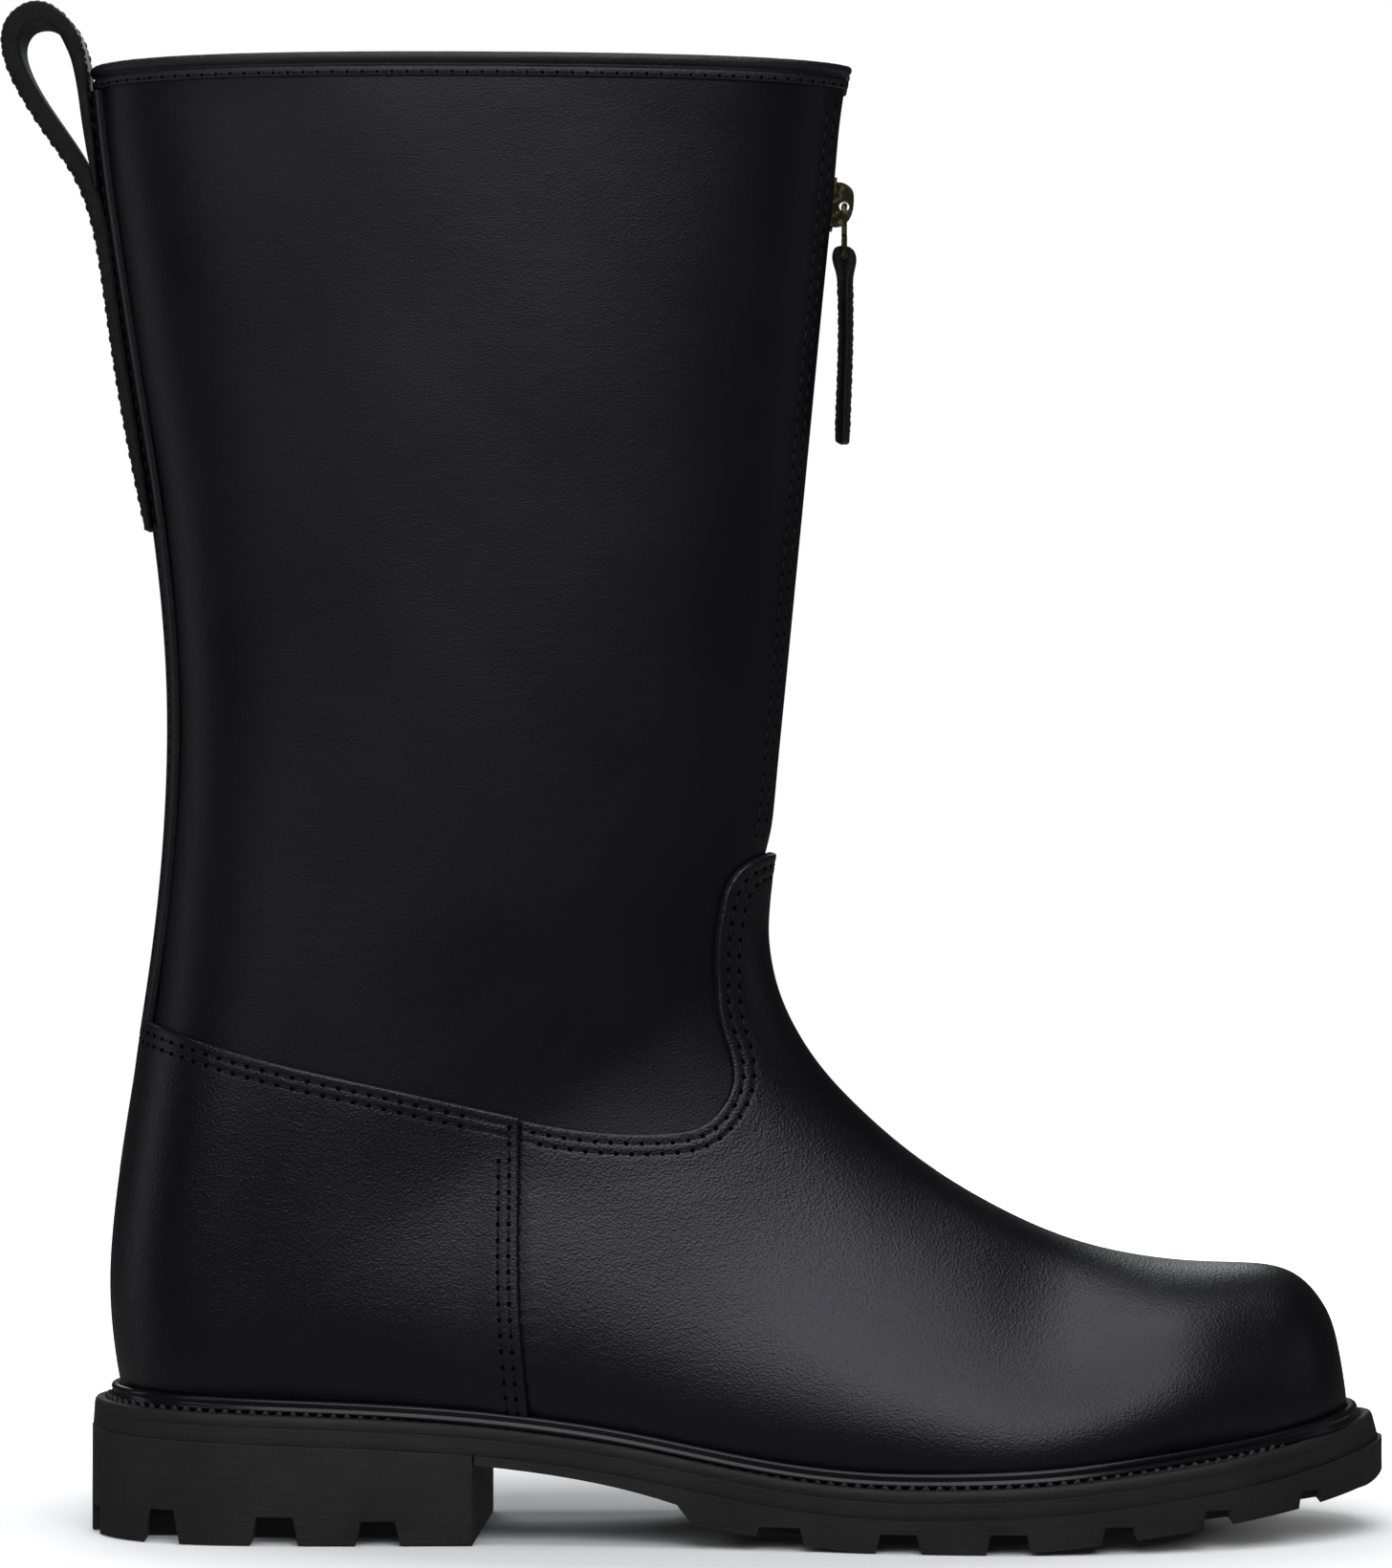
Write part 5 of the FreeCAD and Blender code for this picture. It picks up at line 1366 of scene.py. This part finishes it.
@dataclass
class Welt:
    """Welt, midsole edge, rand and welt stitches, carried round the sole's outline."""

    last: Last
    count: int = 520
    toe_lean: float = 2.4       # the top of the sole's side stands back this far at the toe
    lean_depth: float = 11.0

    def __post_init__(self) -> None:
        """Outline, its inward directions and how much the side leans."""
        self.line = closed_curve(SOLE_OUTLINE, self.count)
        run = np.roll(self.line, -1, axis=0) - np.roll(self.line, 1, axis=0)
        inward = np.stack([-run[:, 1], run[:, 0]], 1)
        self.inward = unit(inward)
        self.toe = smoothstep(self.line[:, 0], 225.0, 272.0)
        self.heel = smoothstep(-self.line[:, 0], -5.0, 30.0)

    def lean(self, down: Array) -> Array:
        """Set-back of the sole's side, for each outline point.

        Args:
            down: depths below the welt's top.

        Returns:
            Millimetres inwards, as outline points by depths.
        """
        share = np.clip(1 - down / self.lean_depth, 0, 1)
        return (self.toe_lean * self.toe[:, None] + 0.5 * self.heel[:, None] + 0.25) * share

    def band(self, section: Sequence[tuple[float, float]], fine: int) -> Array:
        """Carries a closed section round the outline.

        Args:
            section: corners as (set-back, depth below the welt's top).
            fine: points added along the section's length.

        Returns:
            Outline points by section points by 3.
        """
        rows = np.array(section, float)
        rows = np.concatenate([rows, rows[:1]])
        length = chord(rows)
        at = np.linspace(0, length[-1], fine + 1)[:-1]
        at = np.unique(np.concatenate([at, length[:-1]]))
        inset, down = np.interp(at, length, rows[:, 0]), np.interp(at, length, rows[:, 1])
        inset = inset[None] + self.lean(np.broadcast_to(down, (self.count, len(down))))
        plan = self.line[:, None] + self.inward[:, None] * inset[..., None]
        z = WELT_LINE(plan[..., 0]) - down[None]
        return np.stack([plan[..., 0], plan[..., 1], z], axis=-1)

    def layers(self) -> None:
        """Welt with its stitch channel and lip, and the midsole under it."""
        section = [(SOLE_INNER, 2.9), (SOLE_INNER, 0.1), (8.0, 0.05), (4.4, 0.1), (3.6, 0.35), (2.9, 0.75), (2.2, 0.7),
                   (1.8, 0.25), (1.4, 0.02), (0.9, 0.05), (0.45, 0.3), (0.12, 0.8), (0.0, 1.5), (0.0, 2.9),
                   (0.06, 2.98)]
        shape = swept(self.band(section, 10), True)
        mesh_piece("welt_strip", shape, [Finish.SIDE.material], nodes=["welt"], crease=50)
        section = [(SOLE_INNER, 3.02), (0.06, 3.02), (0.0, 3.1), (0.0, 4.6), (0.0, 6.8), (0.06, 6.92),
                   (SOLE_INNER, 6.92)]
        mesh_piece("midsole_layer", swept(self.band(section, 24), True), [Finish.SIDE.material],
                   nodes=["midsole"], crease=50)

    def foot_line(self, height: float, offset: float) -> tuple[Array, Array]:
        """Closed line round the foot at a height above the welt, and the outward directions.

        On each side the angle is found at which the skin crosses the height, for sections spaced
        as a cosine between the toe and the heel.

        Args:
            height: height above the welt's top.
            offset: distance from the body surface.

        Returns:
            The line and its outward directions.
        """
        def sunk(t: Array) -> Array:
            return height - above_welt(self.last.skin(t, np.zeros_like(t), offset))

        toe, heel = np.linspace(0.0, 3.0, 400), np.linspace(13.0, 17.0, 400)
        start, end = np.interp(0.0, sunk(toe), toe), np.interp(0.0, -sunk(heel), heel)
        t = start + (end - start) * (1 - np.cos(np.linspace(0, math.pi, 500))) / 2
        halves = [self.last.at_height(t, side, offset, height, 2.4) for side in (-1, 1)]
        path = np.concatenate([halves[0], halves[1][::-1][1:]])
        path[0] = path[-1] = (path[0] + path[-1]) / 2
        path = even(path, 1.5, closed=True)
        run = np.roll(path, -1, axis=0) - np.roll(path, 1, axis=0)
        out = np.stack([run[:, 1], -run[:, 0], np.zeros(len(run))], 1)
        centre = path.mean(0)
        if ((path - centre) * out).sum() < 0:
            out = -out
        return path, unit(out)

    def rand(self) -> None:
        """Glossy bead in the corner between upper and welt: a tall foot with a rolled top."""
        path, out = self.foot_line(1.7, FOOT_OUT + 0.1)
        section = np.array([(-0.5, -1.6), (2.3, -1.55), (2.75, -1.2), (2.65, -0.6), (2.35, -0.1), (2.3, 0.3),
                            (2.5, 0.7), (2.45, 1.25), (2.05, 1.7), (1.3, 1.85), (0.5, 1.7), (-0.3, 1.4), (-0.6, 0.0)])
        closed = np.concatenate([section[-3:], section, section[:4]])
        length = chord(closed)
        at = np.linspace(length[3], length[3 + len(section)], 35)[:-1]
        ring = Spline(length, closed)(at)
        rings = path[:, None] + out[:, None] * ring[None, :, :1] + np.array([0, 0, 1.0]) * ring[None, :, 1:]
        mesh_piece("rand_bead", swept(rings, True), [Finish.RAND.material], nodes=["welt_rand"],
                   crease=60)

    def stitches(self) -> None:
        """Thick lock stitches in the welt's channel."""
        inset = self.lean(np.zeros((self.count, 1)))[:, 0] + 3.0
        plan = self.line + self.inward * inset[:, None]
        plan = np.concatenate([plan, plan[:1]])
        path = np.stack([plan[:, 0], plan[:, 1], WELT_LINE(plan[:, 0]) - 0.35], 1)
        up = np.tile(np.array([[0, 0, 1.0]]), (len(path), 1))
        shape = stitch_row(path, up, Thread(pitch=WELT_PITCH, width=0.72, rise=1.15, hole_shade=0.6))
        mesh_piece("welt_stitches", shape, [Finish.WELT_THREAD.material, Finish.HOLE_SHADE.material],
                   crease=70)

    def build(self) -> None:
        """Makes the band of layers, the bead and the stitches."""
        self.layers()
        self.rand()
        self.stitches()


@dataclass
class Sole:
    """Lugged heel and tread, cut as in the solids and softened along their edges."""

    welt: Welt
    soften: float = 0.28        # width of the worn edge

    def build(self) -> None:
        """Makes heel and outsole."""
        for node, name in (("heel_block", "heel_lugs"), ("outsole", "tread_lugs")):
            worn_copy(node, name, "boot", Finish.RUBBER, self.soften, 38.0)


@dataclass
class Zip:
    """Tapes, teeth, slider, link and leather pull."""

    last: Last
    start: float = 170.0
    stop: float = 327.0
    pitch: float = 3.0
    tooth_inner: float = 0.7
    tooth_outer: float = 3.0
    tooth_set_back: float = 2.5     # middle of the teeth, behind the front line
    pull_x: float = 145.4
    pull_turn: float = -8.0         # the pull hangs turned by this, in degrees
    pull_row: float = 3.9           # stitch rows from the pull's middle

    def __post_init__(self) -> None:
        """Directions of the straight front line."""
        up = unit(np.array([ZIP_LEAN, 0.0, 1.0]))
        self.up = up
        self.out = np.array([up[2], 0.0, -up[0]])
        self.foot = np.array([ZIP_FOOT[0], 0.0, ZIP_FOOT[1]])

    def at(self, z: Array) -> Array:
        """Points of the front line at heights."""
        return self.foot + self.up * ((np.asarray(z) - self.foot[2]) / self.up[2])[..., None]

    def tapes(self) -> None:
        """Two woven strips behind the free front edges."""
        for side, name in ((-1, "zipper_tape_lateral"), (1, "zipper_tape_medial")):
            span = (math.pi - 0.75, math.pi) if side > 0 else (-math.pi, -math.pi + 0.75)
            patch = Patch.grid((12.5, 26.5), 110, span, 36)
            patch = patch.cut(self.last, lambda p: p[:, 2] - self.start + 8.0)
            patch = patch.cut(self.last, lambda p: self.stop + 6.0 - p[:, 2])
            patch = patch.cut(self.last, lambda p: TAPE_HALF - np.abs(p[:, 1]))
            patch = patch.cut(self.last, lambda p: np.abs(p[:, 1]) - self.tooth_outer - 0.1)
            shape = leather_shell(self.last, patch, LINING_OUT, LINING_OUT - 0.8)
            mesh_piece(name + "_cloth", shape, [Finish.TAPE.material], nodes=[name])

    def blocks(self, z: Array, side: int, length: float) -> Shape:
        """Cast teeth: rounded blocks with a nub towards the other row.

        A tooth's section is |x|^4 + |y|^4 = 1, smaller at both ends, with the inner side drawn in.

        Args:
            z: heights of the teeth's lower ends.
            side: -1 lateral, +1 medial.
            length: length along the zip.

        Returns:
            All teeth, in one slot.
        """
        turn = (np.arange(8) + 0.5) * math.pi / 4
        rise = np.array([-1.0, -0.8, 0.0, 0.8, 1.0])
        ring = np.array([0.72, 1.0, 1.0, 1.0, 0.72])
        c, s = oblong(turn, 0.5, 0.5)
        grid = np.stack([np.outer(ring, c), np.outer(ring, s), np.outer(rise, np.ones(8))], -1)
        span, middle = (self.tooth_outer - self.tooth_inner) / 2, (self.tooth_outer + self.tooth_inner) / 2
        inner = np.clip(-grid[..., 1], 0, 1) ** 2
        local = np.stack([grid[..., 0] * 0.9 * (1 - 0.25 * inner), side * (middle + grid[..., 1] * span),
                          grid[..., 2] * length / 2 * (1 - 0.3 * inner)], -1)
        centre = self.at(z) - self.out * self.tooth_set_back + self.up * length / 2
        return capped(centre[:, None, None] + self.out * local[None, ..., :1]
                      + np.array([0, 1.0, 0]) * local[None, ..., 1:2] + self.up * local[None, ..., 2:])

    def teeth(self) -> None:
        """Two rows of teeth and the stops."""
        count = int((self.stop - self.pitch - self.start) / self.pitch)
        for side, name in ((-1, "zipper_teeth_lateral"), (1, "zipper_teeth_medial")):
            z = self.start + (0.0 if side < 0 else self.pitch / 2) * self.up[2] + np.arange(count) * self.pitch
            mesh_piece(name + "_cast", self.blocks(z, side, 1.6), [Finish.BRASS.material], nodes=[name],
                       crease=55)
        tops = together([self.blocks(np.array([self.stop]), side, 3.0) for side in (-1, 1)])
        mesh_piece("zip_top_stops", tops, [Finish.BRASS.material], nodes=["zipper_top_stops"], crease=55)

    def pull(self) -> None:
        """Leather folded round the link's lower bar, glued and stitched below it."""
        low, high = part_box("zipper_pull_strap")
        x, top, foot = self.pull_x, high[2] / MM, low[2] / MM
        axis = top - 2.7
        # outer face of the fold, then of the doubled strap, as half-thickness at heights
        z = np.array([top, top - 0.25, top - 0.9, axis, axis - 2.0, axis - 4.0, axis - 6.5, axis - 12.0,
                      foot + 20.0, foot + 6.0, foot + 1.2, foot + 0.3, foot])
        half = np.array([0.25, 1.25, 2.2, 2.7, 2.45, 1.9, 1.5, 1.35, 1.3, 1.32, 1.3, 1.15, 0.75])
        wide = np.array([2.9, 3.05, 3.1, 3.1, 3.1, 3.5, 4.9, 5.25, 5.25, 5.25, 5.15, 4.6, 3.9])
        steps = np.arange(len(z))
        at = np.linspace(0, len(z) - 1, 120)
        zz, hh, ww = (Spline(steps, v)(at) for v in (z, half, wide))
        u, v = oblong(np.linspace(0, 2 * math.pi, 41)[:-1] + 1e-6, 0.35, 0.16)
        slit = 1 - 0.30 * np.exp(-(u / 0.16) ** 2) * (np.abs(v) > 0.9)
        px = hh[:, None] * u[None]
        py = ww[:, None] * (v * slit)[None]
        curl = 0.45 * np.sin((top - zz) / 47.0 * math.pi * 1.3)[:, None]
        px = px + curl
        angle = math.radians(self.pull_turn)
        rings = np.stack([x + px * math.cos(angle) - py * math.sin(angle), px * math.sin(angle) + py * math.cos(angle),
                          np.broadcast_to(zz[:, None], px.shape)], -1)
        shape = swept(rings, False)
        quads = shape.faces[0]
        across = quads[:, 0] % 40
        edge = np.abs(v[across] + v[(across + 1) % 40]) / 2 > 0.93
        parts = Shape(shape.points, [quads[~edge], quads[edge]] + shape.faces[1:], [0, 1, 1, 1])
        mesh_piece("pull_leather", parts, [Finish.STRAP.material, Finish.CUT.material], "pull_strap",
                   ["zipper_pull_strap"], 60)
        made = []
        keep = (zz < axis - 6.0) & (zz > foot + 2.0)
        for face in (-1, 1):
            for y0 in (-self.pull_row, self.pull_row):
                px = face * hh[keep] + curl[keep, 0]
                path = np.stack([x + px * math.cos(angle) - y0 * math.sin(angle),
                                 px * math.sin(angle) + y0 * math.cos(angle), zz[keep]], 1)
                out = np.tile([[face * math.cos(angle), face * math.sin(angle), 0.0]], (len(path), 1))
                made.append(stitch_row(path, out, Thread(pitch=3.2, width=0.28, rise=0.18, hole_shade=0.32)))
        mesh_piece("pull_stitches", together(made), [Finish.THREAD.material, Finish.HOLE_SHADE.material], "pull_strap",
                   crease=70)

    def build(self) -> None:
        """Makes the zip from tape to pull."""
        self.tapes()
        self.teeth()
        for node, name, body, width in (("zipper_slider", "slider_cast", "slider", 0.28),
                                        ("zipper_pull_link", "link_cast", "pull_link", 0.22),
                                        ("zipper_bottom_stop", "bottom_stop_cast", "boot", 0.3)):
            worn_copy(node, name, body, Finish.BRASS, width, 35.0)
        self.pull()


@dataclass
class Insole:
    """Sock liner that is seen through the open top."""

    last: Last
    toe: float = 0.35           # section numbers where the sheet starts and ends
    heel: float = 15.1
    side_gap: float = 0.3       # clear of the room's wall
    reach: float = 5.0          # heights above the welt: where it meets the wall, top, underside
    top: float = 5.4
    under: float = 3.5

    def build(self) -> None:
        """A sheet between the two sides of the room at the sock's height, with a rounded edge."""
        t = self.toe + (self.heel - self.toe) * (1 - np.cos(np.linspace(0, math.pi, 120))) / 2
        sides = [self.last.at_height(t, side, ROOM - self.side_gap, self.reach, 2.2) for side in (-1, 1)]
        share = np.linspace(0, 1, 33)
        top = sides[0][:, None] * (1 - share)[None, :, None] + sides[1][:, None] * share[None, :, None]
        edge = 0.7 * (np.abs(2 * share - 1) ** 8)
        top[..., 2] = WELT_LINE(top[..., 0]) + self.top - edge[None]
        low = top.copy()
        low[..., 2] = WELT_LINE(top[..., 0]) + self.under
        rings = np.concatenate([top, low[:, ::-1]], axis=1)
        mesh_piece("sock_sheet", swept(rings, False), [Finish.LINING.material], nodes=["sock_liner"],
                   crease=60)


def dress_inner_nodes() -> None:
    """Finishes for the solids that stay as they are."""
    finishes = {"heel_counter": Finish.BOARD, "vamp_interlining": Finish.BOARD, "toe_puff": Finish.BOARD,
                "insole_board": Finish.BOARD, "cork_filler": Finish.CORK, "shank": Finish.STEEL,
                "heel_nails": Finish.STEEL}
    for node, finish in finishes.items():
        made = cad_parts[node]
        made.data.materials.clear()
        made.data.materials.append(finish.material)


# ---- studio --------------------------------------------------------------------------------
class Lamp(Enum):
    """Soft boxes: place and aim in metres, width, height, power in watts."""

    KEY = ((0.24, -1.10, 1.02), (0.12, 0.0, 0.06), 1.05, 0.80, 11.5)
    LEFT = ((-0.75, -1.10, 0.62), (0.05, 0.0, 0.15), 0.6, 0.5, 2.0)
    LOW = ((0.10, -1.36, 0.50), (0.12, 0.0, 0.05), 0.5, 0.26, 0.75)
    TOP = ((0.10, -0.15, 1.5), (0.10, -0.05, 0.0), 1.2, 0.8, 11.0)
    STRIP = ((-1.0, 0.15, 0.30), (-0.02, 0.0, 0.22), 0.25, 0.8, 0.6)
    FRONT = ((1.25, -0.1, 0.4), (0.2, 0.0, 0.1), 0.3, 0.5, 0.25)
    BACK = ((-0.1, 1.3, 0.85), (0.10, 0.0, 0.12), 1.1, 0.7, 7.0)

    def place(self) -> None:
        """Makes the light."""
        where, aim, width, height, power = self.value
        data = bpy.data.lights.new("softbox_" + self.name.lower(), "AREA")
        data.shape = "RECTANGLE"
        data.size, data.size_y, data.energy = width, height, power
        data.color = (0.94, 0.96, 1.0)
        made = bpy.data.objects.new(data.name, data)
        made.location = where
        made.rotation_euler = (Vector(aim) - Vector(where)).to_track_quat("-Z", "Y").to_euler()
        bpy.context.scene.collection.objects.link(made)


def camera() -> None:
    """Long lens that looks level at the lateral side."""
    scene = bpy.context.scene
    data = bpy.data.cameras.new("view")
    data.lens, data.sensor_width = 133.1, 36.0
    data.clip_start, data.clip_end = 0.01, 100.0
    made = bpy.data.objects.new("view", data)
    made.location = (0.1097, -1.4, 0.1794)
    made.rotation_euler = (math.pi / 2, 0.0, 0.0)
    scene.collection.objects.link(made)
    scene.camera = made


def surround() -> None:
    """White behind the boot, and for its surfaces a dim room that is lighter below."""
    scene = bpy.context.scene
    world = bpy.data.worlds.new("surround")
    world.use_nodes = True
    tree = world.node_tree
    background = tree.nodes["Background"]
    background.inputs["Color"].default_value = (1.0, 1.0, 1.0, 1.0)
    seen = tree.nodes.new("ShaderNodeLightPath")
    way = tree.nodes.new("ShaderNodeSeparateXYZ")
    tree.links.new(tree.nodes.new("ShaderNodeTexCoord").outputs["Generated"], way.inputs["Vector"])
    room = tree.nodes.new("ShaderNodeMapRange")
    for key, value in (("From Min", -0.35), ("From Max", -0.05), ("To Min", 0.22), ("To Max", 0.035)):
        room.inputs[key].default_value = value
    tree.links.new(way.outputs["Z"], room.inputs["Value"])
    power = tree.nodes.new("ShaderNodeMath")
    power.operation = "MAXIMUM"
    tree.links.new(seen.outputs["Is Camera Ray"], power.inputs[0])
    tree.links.new(room.outputs["Result"], power.inputs[1])
    tree.links.new(power.outputs[0], background.inputs["Strength"])
    scene.world = world
    scene.view_settings.view_transform = "Standard"


def pale_floor() -> None:
    """Plain floor that glows more the further it is from the boot, so that it ends in white."""
    mesh = bpy.data.meshes.new("floor")
    half = 1.3
    mesh.from_pydata([(-half, -half, 0), (half, -half, 0), (half, half, 0), (-half, half, 0)], [], [(0, 1, 2, 3)])
    floor = bpy.data.objects.new("floor", mesh)
    floor.location = (0.12, 0.0, -0.0002)
    bpy.context.scene.collection.objects.link(floor)
    n = Nodes("pale_floor")
    far = n.add("ShaderNodeVectorMath", {0: n.scaled((1.0, 1.6, 0.0))}, operation="LENGTH").outputs["Value"]
    glow = n.between(far, 0.11, 0.34, 0.0, 1.0)
    mesh.materials.append(n.finish(n.mixed(n.noise(3.0, 2.0), (0.86, 0.86, 0.86), (0.9, 0.9, 0.9)), 0.8, None,
                                   Specular_IOR_Level=0.1))
    n.tree.links.new(glow, n.shader.inputs["Emission Strength"])
    n.shader.inputs["Emission Color"].default_value = (1.0, 1.0, 1.0, 1.0)
    floor.visible_glossy = False


def studio() -> None:
    """Camera, soft lights, white surround and pale floor."""
    camera()
    for lamp in Lamp:
        lamp.place()
    surround()
    pale_floor()


def main() -> None:
    """Makes the studio, then builds the boot from the foot up and gives the kept inner solids their finishes."""
    logging.basicConfig(level=logging.INFO, format="%(name)s %(message)s")
    studio()
    last = Last(SECTIONS)
    welt = Welt(last)
    for maker in (Upper(last), PullLoop(last), welt, Sole(welt), Zip(last), Insole(last)):
        maker.build()
    dress_inner_nodes()


if __name__ == "__main__":
    main()
